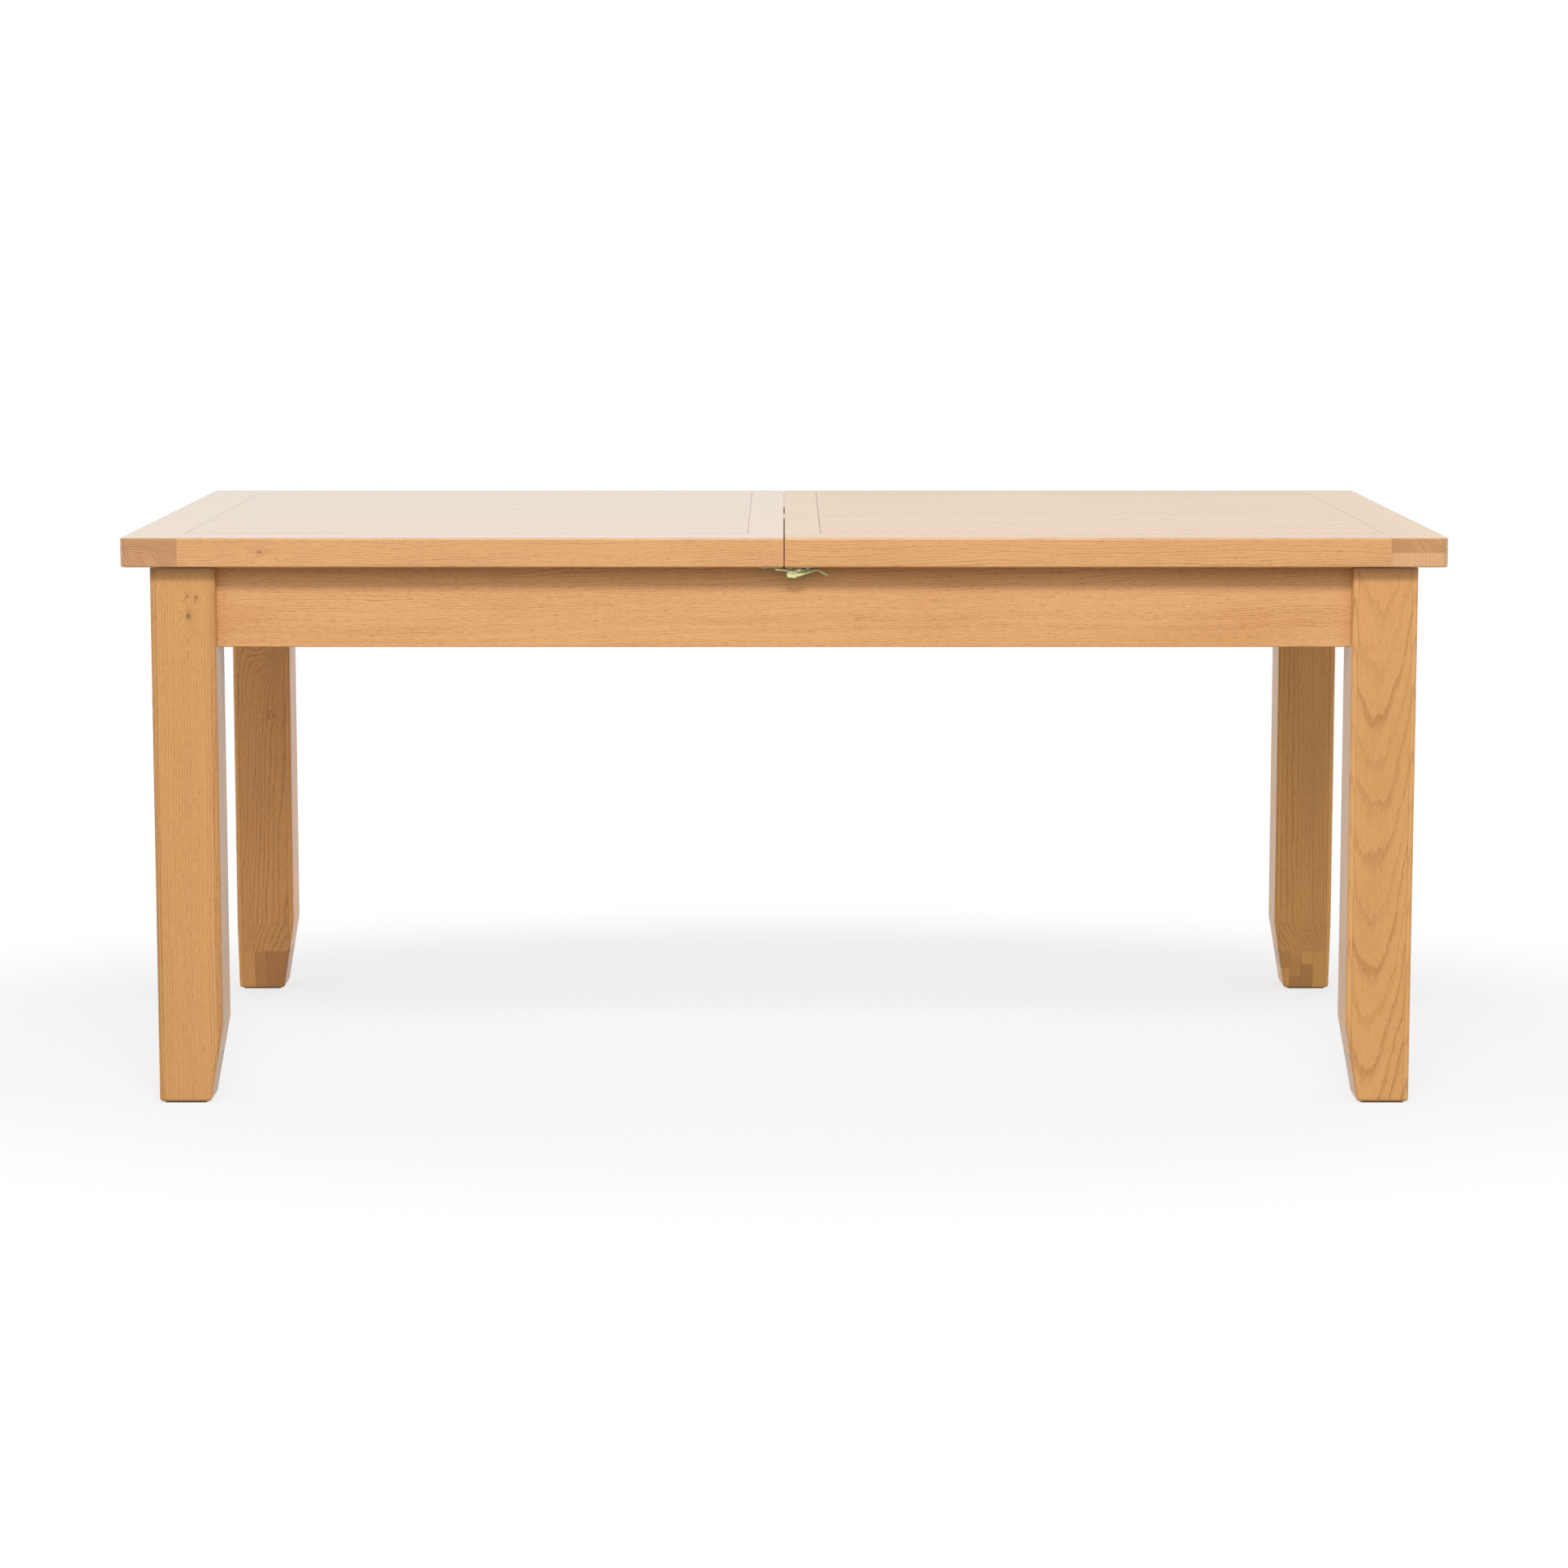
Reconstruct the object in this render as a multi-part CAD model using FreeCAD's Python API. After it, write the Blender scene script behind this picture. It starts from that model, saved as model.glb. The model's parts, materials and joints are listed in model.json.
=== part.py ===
"""Extendable oak dining table: a fixed leg frame, a top in two halves that slide apart, and a stored leaf.

Millimetres, +Z up. X runs along the table, Y across it, and the front is towards -Y.
The origin is on the floor, under the middle of the top. The table is drawn closed.
"""

import FreeCAD
import Part
import math
import os

from FreeCAD import Vector

# Overall sizes
LENGTH = 1800.0
WIDTH = 1000.0
HEIGHT = 784.0
LEAF_LENGTH = 500.0

# Top
TOP_EDGE = 40.0
LAYER = 20.0
END_PLANK = 78.0
RAIL = 79.0
CENTRE_PLANK = 50.0
SPLIT_GAP = 1.0
CORNER_RADIUS = 12.0
TOP_EASE = 2.5
SPLIT_EASE = 1.0
VEE_DEPTH = 0.9
TONGUE_WIDTH = 8.0
TONGUE_THICKNESS = 8.0
TONGUE_CLEARANCE = 0.5

# Legs and feet
LEG = 89.0
END_OVERHANG = 37.0
FRONT_OVERHANG = 24.0
LEG_EDGE_RADIUS = 5.0
TAPER = 18.0
TAPER_HEIGHT = 106.0
PAD_THICKNESS = 2.0
PAD_INSET = 6.0
TOP_GAP = 3.0

# Aprons and corner blocks
APRON_HEIGHT = 109.0
APRON_THICKNESS = 22.0
APRON_RECESS = 15.0
APRON_EASE = 1.5
BLOCK_THICKNESS = 25.0
BLOCK_HEIGHT = 50.0
BLOCK_GAP = 1.5
BLOCK_DROP = 46.0

# Hanger bolts and their flange nuts
BOLT_RADIUS = 4.0
BOLT_HOLE_CLEARANCE = 0.5
BOLT_IN_LEG = 40.0
BOLT_STAND_OUT = 16.0
BOLT_SPACING = 26.0
NUT_ACROSS_FLATS = 13.0
NUT_HEIGHT = 8.0
FLANGE_RADIUS = 8.5
FLANGE_HEIGHT = 1.6

# Grooved bearers, slides and bumpers
SLIDE_FROM_LEG = 13.0
BEARER_WIDTH = 30.0
BEARER_HEIGHT = 43.0
BEARER_HOUSING = 8.0
GROOVE_DEPTH = 10.0
GROOVE_HEIGHT = 12.0
SLIDE_CLEARANCE = 0.5
SLIDE_WIDTH = 23.5
SLIDE_LIFT = 2.0
SLIDE_OVERLAP = 280.0
SLIDE_RELIEF = 1.0
BUMPER_THICKNESS = 5.5
BUMPER_MARGIN = 3.0
STOP_CLEARANCE = 0.5

# Battens, cross rails and leaf rests
BATTEN_WIDTH = 60.0
BATTEN_END_GAP = 21.0
BATTEN_FROM_CENTRE = 80.0
BATTEN_FROM_SLIDE_END = 10.0
RAIL_FROM_ARM = 24.0
CROSS_RAIL_THICKNESS = 22.0
CROSS_RAIL_HEIGHT = 58.0
REST_Y = 120.0
REST_WIDTH = 40.0
REST_HEIGHT = 25.0
FELT_THICKNESS = 2.0
FELT_WIDTH = 30.0
FELT_SETBACK = 10.0

# Stored leaf, its hinges and swing arms
LEAF_THICKNESS = 20.0
LEAF_HEADROOM = 2.0
HINGE_X = 170.0
HINGE_BARREL_RADIUS = 5.0
HINGE_BARREL_DEPTH = 12.0
HINGE_LINK_THICKNESS = 3.0
HINGE_LINK_WIDTH = 12.0
ARM_THICKNESS = 3.0
ARM_GAP = 12.0
ARM_DEPTH = 27.0
ARM_LENGTH = 120.0
ARM_FLANGE = 40.0
ARM_PIN_RADIUS = 4.0
ARM_PIN_IN_RAIL = 11.0

# Alignment dowels
DOWEL_RADIUS = 5.0
DOWEL_EMBED = 29.0
DOWEL_STAND_OUT = 12.0
DOWEL_POINT = 2.0
DOWEL_CLEARANCE = 0.3
SOCKET_EXTRA = 2.5
DOWEL_SPACING = 330.0

# Wood screws
SCREW_RADIUS = 2.0
SCREW_HEAD_RADIUS = 4.0
SCREW_HEAD_HEIGHT = 2.2
BATTEN_SCREW = 30.0
BATTEN_SCREW_Y = 100.0
BATTEN_SCREW_FROM_END = 16.0
SLIDE_SCREW = 58.0
BLOCK_SCREW = 25.0
BLOCK_SCREW_BITE = 13.0
BLOCK_SCREW_POCKET = 5.0
LATCH_SCREW = 14.0
LATCH_SCREW_RADIUS = 1.3
LATCH_SCREW_HEAD = 2.4
LATCH_SCREW_HEAD_HEIGHT = 1.2

# Draw latch: places are measured from the split and down from the underside of the top
LATCH_FROM_EDGE = 20.0
LATCH_WIDTH = 22.0
LATCH_PLATE = 1.5
LATCH_SHEET = 1.5
LATCH_BASE_START = 2.0
LATCH_BASE_END = 40.0
LATCH_SCREW_X = 32.0
LATCH_SCREW_Y = 8.6
EAR_INNER = 3.6
EAR_RADIUS = 3.8
PIVOT_X = 7.5
PIVOT_DROP = 10.0
PIN_RADIUS = 1.5
PIN_CLEARANCE = 0.05
CHEEK_INNER = 5.3
LEVER_TOP_DROP = 3.2
LEVER_DEPTH = 15.5
LEVER_DEEPEST_X = 15.0
LEVER_NOSE_RADIUS = 4.2
LEVER_WEB_START = 23.0
LEVER_BEND_X = 45.0
FINGER_END_X = 59.5
FINGER_DROP = 10.8
WIRE_RADIUS = 1.4
WIRE_GAP = 0.4
BAIL_X = 18.5
BAIL_DROP = 7.2
HOOK_X = 10.0
HOOK_WIDTH = 12.0
HOOK_DROP = 7.0
HOOK_CLEARANCE = 0.6
KEEPER_START = 3.0
KEEPER_END = 34.0
KEEPER_SCREW_X = 26.0
KEEPER_SCREW_Y = 6.0

# Levels and faces that follow from the sizes above
UNDERSIDE = HEIGHT - TOP_EDGE
PANEL_UNDERSIDE = HEIGHT - LAYER
FRAME_TOP = UNDERSIDE - TOP_GAP
APRON_BOTTOM = FRAME_TOP - APRON_HEIGHT
LEG_OUTER_X = LENGTH / 2 - END_OVERHANG
LEG_OUTER_Y = WIDTH / 2 - FRONT_OVERHANG
LEG_INNER_X = LEG_OUTER_X - LEG
LEG_INNER_Y = LEG_OUTER_Y - LEG
APRON_OUTER_X = LEG_OUTER_X - APRON_RECESS
APRON_OUTER_Y = LEG_OUTER_Y - APRON_RECESS
APRON_INNER_X = APRON_OUTER_X - APRON_THICKNESS
APRON_INNER_Y = APRON_OUTER_Y - APRON_THICKNESS
PANEL_START = CENTRE_PLANK
PANEL_END = LENGTH / 2 - END_PLANK
PANEL_HALF_WIDTH = WIDTH / 2 - RAIL
TRAVEL = LEAF_LENGTH / 2
BEARER_Y = LEG_INNER_Y - SLIDE_FROM_LEG - SLIDE_WIDTH - SLIDE_CLEARANCE - BEARER_WIDTH / 2
BEARER_BOTTOM = FRAME_TOP - BEARER_HEIGHT
GROOVE_MIDDLE = FRAME_TOP - BEARER_HEIGHT / 2
SLIDE_END = APRON_INNER_X - BUMPER_THICKNESS - STOP_CLEARANCE - TRAVEL
LEAF_FACE = UNDERSIDE - LEAF_HEADROOM - TOP_EDGE
LEAF_HALF = WIDTH / 4
ARM_FACE = LEAF_LENGTH / 2 + ARM_GAP + ARM_THICKNESS
CROSS_RAIL_X = ARM_FACE + RAIL_FROM_ARM + CROSS_RAIL_THICKNESS / 2
BLOCK_TOP = FRAME_TOP - BLOCK_DROP
BLOCK_BOTTOM = BLOCK_TOP - BLOCK_HEIGHT
CHEEK_OUTER = CHEEK_INNER + LATCH_SHEET
WIRE_Y = CHEEK_OUTER + WIRE_GAP + WIRE_RADIUS
BAR_X = HOOK_X + HOOK_CLEARANCE + WIRE_RADIUS
BAR_DROP = LATCH_PLATE + WIRE_RADIUS + PIN_CLEARANCE

# How near to a face or an edge a point counts as on it
NEAR = 1.0

SIDES = {"left": -1, "right": 1}
ENDS = {"front": -1, "back": 1}
UP = Vector(0, 0, 1)
ALONG = Vector(1, 0, 0)
ACROSS = Vector(0, 1, 0)


def block(x0, x1, y0, y1, z0, z1):
    """A box between two corners, given in any order."""
    low = Vector(min(x0, x1), min(y0, y1), min(z0, z1))
    return Part.makeBox(abs(x1 - x0), abs(y1 - y0), abs(z1 - z0), low)


def rod(start, direction, length, radius):
    """A round bar from start along direction."""
    return Part.makeCylinder(radius, length, start, direction)


def prism(points, depth):
    """The flat outline through points, pushed along depth."""
    return Part.Face(Part.makePolygon(points + points[:1])).extrude(depth)


def in_quadrant(shape, side, end):
    """A shape drawn at +X, +Y, mirrored to the quadrant of that side and end."""
    if side < 0:
        shape = shape.mirror(Vector(), ALONG)
    if end < 0:
        shape = shape.mirror(Vector(), ACROSS)
    return shape


def eased(shape, radius, wanted):
    """Rounds the edges whose middle point satisfies wanted."""
    edges = [edge for edge in shape.Edges if wanted(edge.CenterOfMass)]
    return shape.makeFillet(radius, edges)


def fuse(pieces):
    return pieces[0].multiFuse(pieces[1:]).removeSplitter()


def wood_screw(head, direction, length):
    """A countersunk screw whose head is flush with the surface at head."""
    cone = Part.makeCone(SCREW_HEAD_RADIUS, SCREW_RADIUS, SCREW_HEAD_HEIGHT, head, direction)
    return fuse([cone, rod(head, direction, length, SCREW_RADIUS)])


def latch_screw(seat):
    """A small pan-head screw driven up into the top from seat, the underside of a latch plate."""
    low = seat - UP * LATCH_SCREW_HEAD_HEIGHT
    head = rod(low, UP, LATCH_SCREW_HEAD_HEIGHT, LATCH_SCREW_HEAD)
    return fuse([head, rod(low, UP, LATCH_SCREW + LATCH_SCREW_HEAD_HEIGHT, LATCH_SCREW_RADIUS)])


def leg():
    """A square leg at +X, +Y whose two inner faces taper towards the foot."""
    foot = PAD_THICKNESS
    knee = PAD_THICKNESS + TAPER_HEIGHT

    def outline(inner, outer, place):
        corners = [(outer, foot), (outer, FRAME_TOP), (inner, FRAME_TOP), (inner, knee), (inner + TAPER, foot)]
        return [place(across, height) for across, height in corners]

    along = prism(outline(LEG_INNER_X, LEG_OUTER_X, lambda x, z: Vector(x, LEG_INNER_Y, z)), ACROSS * LEG)
    across = prism(outline(LEG_INNER_Y, LEG_OUTER_Y, lambda y, z: Vector(LEG_INNER_X, y, z)), ALONG * LEG)
    body = along.common(across)
    body = eased(body, LEG_EDGE_RADIUS, lambda middle: middle.z < FRAME_TOP - NEAR)
    return body.cut(Part.makeCompound(hanger_bolts()))


def foot_pad():
    inner_x = LEG_INNER_X + TAPER + PAD_INSET
    inner_y = LEG_INNER_Y + TAPER + PAD_INSET
    pad = block(inner_x, LEG_OUTER_X - PAD_INSET, inner_y, LEG_OUTER_Y - PAD_INSET, 0, PAD_THICKNESS)
    middle = Vector((inner_x + LEG_OUTER_X - PAD_INSET) / 2, (inner_y + LEG_OUTER_Y - PAD_INSET) / 2, 0)
    reach = (LEG_OUTER_X - PAD_INSET - inner_x) / 2

    def upright(point):
        return abs(point.x - middle.x) > reach - NEAR and abs(point.y - middle.y) > reach - NEAR

    return eased(pad, LEG_EDGE_RADIUS, upright)


def apron_along(end):
    """The long apron between two legs, at the front or the back."""
    outer = end * APRON_OUTER_Y
    inner = end * APRON_INNER_Y
    board = block(-LEG_INNER_X, LEG_INNER_X, outer, inner, APRON_BOTTOM, FRAME_TOP)

    def lower_edge(point):
        return abs(point.x) < NEAR and point.z < APRON_BOTTOM + NEAR

    return eased(board, APRON_EASE, lower_edge)


def apron_across(side):
    """The short apron at one end, housed for the two bearers."""
    outer = side * APRON_OUTER_X
    inner = side * APRON_INNER_X
    board = block(inner, outer, -LEG_INNER_Y, LEG_INNER_Y, APRON_BOTTOM, FRAME_TOP)

    def lower_edge(point):
        return abs(point.y) < NEAR and point.z < APRON_BOTTOM + NEAR

    board = eased(board, APRON_EASE, lower_edge)
    for end in ENDS.values():
        near = end * (BEARER_Y - BEARER_WIDTH / 2)
        far = end * (BEARER_Y + BEARER_WIDTH / 2)
        housing = block(inner, inner + side * BEARER_HOUSING, near, far, BEARER_BOTTOM, FRAME_TOP)
        board = board.cut(housing)
    return board


def bolt_axis():
    """The point on a leg's inner corner, and the direction from it into the frame."""
    return Vector(LEG_INNER_X, LEG_INNER_Y, 0), Vector(-1, -1, 0).normalize()


def bolt_heights():
    middle = (BLOCK_TOP + BLOCK_BOTTOM) / 2
    return [middle - BOLT_SPACING / 2, middle + BOLT_SPACING / 2]


def hanger_bolts():
    corner, inward = bolt_axis()
    start = corner - inward * BOLT_IN_LEG
    length = BOLT_IN_LEG + BLOCK_GAP + BLOCK_THICKNESS + BOLT_STAND_OUT
    return [rod(start + UP * z, inward, length, BOLT_RADIUS) for z in bolt_heights()]


def flange_nuts():
    corner, inward = bolt_axis()
    seat = corner + inward * (BLOCK_GAP + BLOCK_THICKNESS)
    sideways = inward.cross(UP)
    corner_radius = NUT_ACROSS_FLATS / math.sqrt(3)
    nuts = []
    for z in bolt_heights():
        middle = seat + UP * z
        turns = [math.radians(60 * k) for k in range(6)]
        hexagon = [middle + sideways * (corner_radius * math.cos(t)) + UP * (corner_radius * math.sin(t))
                   for t in turns]
        body = fuse([rod(middle, inward, FLANGE_HEIGHT, FLANGE_RADIUS), prism(hexagon, inward * NUT_HEIGHT)])
        nuts.append(body.cut(rod(middle, inward, NUT_HEIGHT, BOLT_RADIUS)))
    return nuts


def block_plan(offset):
    """Where a line across the corner, offset inwards from the leg, meets the two aprons."""
    reach = offset * math.sqrt(2)
    on_long = Vector(LEG_INNER_X - reach - (APRON_INNER_Y - LEG_INNER_Y), APRON_INNER_Y, BLOCK_BOTTOM)
    on_short = Vector(APRON_INNER_X, LEG_INNER_Y - reach - (APRON_INNER_X - LEG_INNER_X), BLOCK_BOTTOM)
    return on_long, on_short


def block_screws():
    """Two screws into each of the two aprons, and the pockets for their heads."""
    near_long, near_short = block_plan(BLOCK_GAP)
    far_long, far_short = block_plan(BLOCK_GAP + BLOCK_THICKNESS)
    x = (near_long.x + far_long.x) / 2
    y = (near_short.y + far_short.y) / 2
    pocket = BLOCK_THICKNESS
    screws = []
    pockets = []
    for z in bolt_heights():
        long_head = Vector(x, APRON_INNER_Y + BLOCK_SCREW_BITE - BLOCK_SCREW, z)
        short_head = Vector(APRON_INNER_X + BLOCK_SCREW_BITE - BLOCK_SCREW, y, z)
        screws.append(wood_screw(long_head, ACROSS, BLOCK_SCREW))
        screws.append(wood_screw(short_head, ALONG, BLOCK_SCREW))
        pockets.append(rod(long_head - ACROSS * pocket, ACROSS, pocket, BLOCK_SCREW_POCKET))
        pockets.append(rod(short_head - ALONG * pocket, ALONG, pocket, BLOCK_SCREW_POCKET))
    return screws, pockets


def corner_block():
    """The diagonal block that ties two aprons and takes the leg's bolts."""
    near_long, near_short = block_plan(BLOCK_GAP)
    far_long, far_short = block_plan(BLOCK_GAP + BLOCK_THICKNESS)
    body = prism([near_long, far_long, far_short, near_short], UP * BLOCK_HEIGHT)
    corner, inward = bolt_axis()
    hole_radius = BOLT_RADIUS + BOLT_HOLE_CLEARANCE
    holes = [rod(corner + UP * z, inward, BLOCK_THICKNESS * 2, hole_radius) for z in bolt_heights()]
    screws, pockets = block_screws()
    return body.cut(Part.makeCompound(holes)).cut(Part.makeCompound(pockets)).cut(Part.makeCompound(screws))


def bearer(end):
    """The fixed rail with a groove in each side, one for each half's slide."""
    near = BEARER_Y - BEARER_WIDTH / 2
    far = BEARER_Y + BEARER_WIDTH / 2
    reach = APRON_INNER_X + BEARER_HOUSING
    low = GROOVE_MIDDLE - GROOVE_HEIGHT / 2
    high = GROOVE_MIDDLE + GROOVE_HEIGHT / 2
    body = block(-reach, reach, end * near, end * far, BEARER_BOTTOM, FRAME_TOP)
    body = body.cut(block(-reach, reach, end * near, end * (near + GROOVE_DEPTH), low, high))
    return body.cut(block(-reach, reach, end * (far - GROOVE_DEPTH), end * far, low, high))


def slide_track(side):
    """A slide's face beside the bearer and its far face, as distances from the middle of the table."""
    outward = 1 if side > 0 else -1
    beside = BEARER_Y + outward * (BEARER_WIDTH / 2 + SLIDE_CLEARANCE)
    return beside, beside + outward * SLIDE_WIDTH, outward


def slide(side, end):
    """A wooden slide with a tongue in the bearer's groove. It runs on under the other half."""
    beside, beyond, outward = slide_track(side)
    inner = -side * SLIDE_OVERLAP
    outer = side * SLIDE_END
    body = block(inner, outer, end * beside, end * beyond, BEARER_BOTTOM + SLIDE_LIFT, UNDERSIDE)
    tip = beside - outward * GROOVE_DEPTH
    low = GROOVE_MIDDLE - GROOVE_HEIGHT / 2 + SLIDE_CLEARANCE
    high = GROOVE_MIDDLE + GROOVE_HEIGHT / 2 - SLIDE_CLEARANCE
    body = fuse([body, block(inner, outer, end * beside, end * tip, low, high)])
    relief = block(inner, side * SPLIT_GAP, end * beside, end * beyond, UNDERSIDE - SLIDE_RELIEF, UNDERSIDE)
    return body.cut(relief)


def bumpers():
    """Rubber stops on the end aprons, one where each slide arrives."""
    made = []
    for side in SIDES.values():
        beside, beyond, outward = slide_track(side)
        near = beside + outward * BUMPER_MARGIN
        far = beyond - outward * BUMPER_MARGIN
        low = BEARER_BOTTOM + SLIDE_LIFT + BUMPER_MARGIN
        high = FRAME_TOP - BUMPER_MARGIN
        face = side * APRON_INNER_X
        for end in ENDS.values():
            stop = block(face, face - side * BUMPER_THICKNESS, end * near, end * far, low, high)
            made.append(stop)
    return made


def half_blank(side):
    """One half of the top as a single board, with its outline and eased edges."""
    start = SPLIT_GAP / 2
    half_length = LENGTH / 2
    half_width = WIDTH / 2
    body = block(start, half_length, -half_width, half_width, UNDERSIDE, HEIGHT)

    def upright_corner(point):
        return point.x > half_length - NEAR and abs(point.y) > half_width - NEAR

    def rim(point):
        on_face = point.z > HEIGHT - NEAR or point.z < UNDERSIDE + NEAR
        return on_face and point.x > start + NEAR

    def split_upright(point):
        return point.x < start + NEAR and abs(point.y) > half_width - NEAR

    body = eased(body, SPLIT_EASE, split_upright)
    body = eased(body, CORNER_RADIUS, upright_corner)
    body = eased(body, TOP_EASE, rim)
    return in_quadrant(body, side, 1)


def panel_bounds(side, margin):
    """The inset panel's four limits in plan, grown by margin."""
    half = PANEL_HALF_WIDTH + margin
    return side * (PANEL_START - margin), side * (PANEL_END + margin), -half, half


def vee(side):
    """The shallow tapering tray whose sloped rim leaves half a V-groove round the panel."""
    rims = []
    for margin, z in ((0.0, HEIGHT - VEE_DEPTH), (VEE_DEPTH, HEIGHT)):
        x0, x1, y0, y1 = panel_bounds(side, margin)
        corners = [Vector(x0, y0, z), Vector(x1, y0, z), Vector(x1, y1, z), Vector(x0, y1, z)]
        rims.append(Part.makePolygon(corners + corners[:1]))
    return Part.makeLoft(rims, True, True)


def panel_tongue(side, clearance):
    middle = HEIGHT - LAYER / 2
    low = middle - TONGUE_THICKNESS / 2
    return block(*panel_bounds(side, TONGUE_WIDTH + clearance), low, low + TONGUE_THICKNESS)


def panel(side):
    """The inset panel, with a tongue all round that sits in grooves in the frame planks."""
    board = block(*panel_bounds(side, 0.0), PANEL_UNDERSIDE, HEIGHT)
    rim = [edge for edge in board.Edges if edge.CenterOfMass.z > HEIGHT - NEAR]
    board = board.makeChamfer(VEE_DEPTH, rim)
    return fuse([board, panel_tongue(side, 0.0)])


def dowels():
    """Round pegs that stand out of the left half's meeting face, with tapered points."""
    made = []
    for step in (-1, 0, 1):
        start = Vector(-SPLIT_GAP / 2 - DOWEL_EMBED, step * DOWEL_SPACING, PANEL_UNDERSIDE)
        length = DOWEL_EMBED + SPLIT_GAP + DOWEL_STAND_OUT
        shank = rod(start, ALONG, length - DOWEL_POINT, DOWEL_RADIUS)
        tip = start + ALONG * (length - DOWEL_POINT)
        point = Part.makeCone(DOWEL_RADIUS, DOWEL_RADIUS - DOWEL_POINT, DOWEL_POINT, tip, ALONG)
        made.append(fuse([shank, point]))
    return made


def dowel_sockets():
    depth = DOWEL_STAND_OUT + SOCKET_EXTRA
    radius = DOWEL_RADIUS + DOWEL_CLEARANCE
    return [rod(Vector(SPLIT_GAP / 2, step * DOWEL_SPACING, PANEL_UNDERSIDE), ALONG, depth, radius)
            for step in (-1, 0, 1)]


def batten_places():
    """The start of the inner and of the outer batten, measured from the split."""
    return {"inner": BATTEN_FROM_CENTRE, "outer": SLIDE_END - BATTEN_FROM_SLIDE_END - BATTEN_WIDTH}


def batten(side, start):
    reach = PANEL_HALF_WIDTH - BATTEN_END_GAP
    near = side * start
    far = side * (start + BATTEN_WIDTH)
    return block(near, far, -reach, reach, UNDERSIDE, PANEL_UNDERSIDE)


def top_screws(side):
    """Screws up through the battens into the panel, and up through the slides into the battens."""
    beside, beyond, outward = slide_track(side)
    slide_y = (beside + beyond) / 2
    reach = PANEL_HALF_WIDTH - BATTEN_END_GAP
    screws = []
    for start in batten_places().values():
        x = side * (start + BATTEN_WIDTH / 2)
        for end in ENDS.values():
            for y in (BATTEN_SCREW_Y, reach - BATTEN_SCREW_FROM_END):
                screws.append(wood_screw(Vector(x, end * y, UNDERSIDE), UP, BATTEN_SCREW))
            seat = Vector(x, end * slide_y, BEARER_BOTTOM + SLIDE_LIFT)
            screws.append(wood_screw(seat, UP, SLIDE_SCREW))
    return screws


def latch_y(end):
    return end * (WIDTH / 2 - LATCH_FROM_EDGE)


def latch_point(x, across, drop, end):
    """A point of a latch, from its distance along the table, across the latch and below the top."""
    return Vector(x, latch_y(end) + across, UNDERSIDE - drop)


def latch_block(x0, x1, across0, across1, drop0, drop1, end):
    y = latch_y(end)
    return block(x0, x1, y + across0, y + across1, UNDERSIDE - drop0, UNDERSIDE - drop1)


def keeper_screws(end):
    places = [(-KEEPER_SCREW_X, side * KEEPER_SCREW_Y) for side in SIDES.values()]
    return [latch_screw(latch_point(x, across, LATCH_PLATE, end)) for x, across in places]


def base_screws(end):
    places = [(LATCH_SCREW_X, side * LATCH_SCREW_Y) for side in SIDES.values()]
    return [latch_screw(latch_point(x, across, LATCH_PLATE, end)) for x, across in places]


def keeper(end):
    """The plate on the left half with a hook turned down for the latch wire."""
    half = LATCH_WIDTH / 2
    plate = latch_block(-KEEPER_END, -KEEPER_START, -half, half, 0, LATCH_PLATE, end)
    hook = latch_block(-HOOK_X, -HOOK_X + LATCH_SHEET, -HOOK_WIDTH / 2, HOOK_WIDTH / 2, 0, HOOK_DROP, end)
    return fuse([plate, hook]).cut(Part.makeCompound(keeper_screws(end)))


def latch_base(end):
    """The plate on the right half with two ears for the lever's pin."""
    half = LATCH_WIDTH / 2
    pieces = [latch_block(LATCH_BASE_START, LATCH_BASE_END, -half, half, 0, LATCH_PLATE, end)]
    for turn in SIDES.values():
        near = min(turn * EAR_INNER, turn * (EAR_INNER + LATCH_SHEET))
        far = near + LATCH_SHEET
        pieces.append(latch_block(PIVOT_X - EAR_RADIUS, PIVOT_X + EAR_RADIUS, near, far, 0, PIVOT_DROP, end))
        pieces.append(rod(latch_point(PIVOT_X, near, PIVOT_DROP, end), ACROSS, LATCH_SHEET, EAR_RADIUS))
    body = fuse(pieces)
    hole = rod(latch_point(PIVOT_X, -half, PIVOT_DROP, end), ACROSS, LATCH_WIDTH, PIN_RADIUS)
    return body.cut(hole).cut(Part.makeCompound(base_screws(end)))


def latch_pin(end):
    return rod(latch_point(PIVOT_X, -CHEEK_OUTER, PIVOT_DROP, end), ACROSS, 2 * CHEEK_OUTER, PIN_RADIUS)


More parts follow.
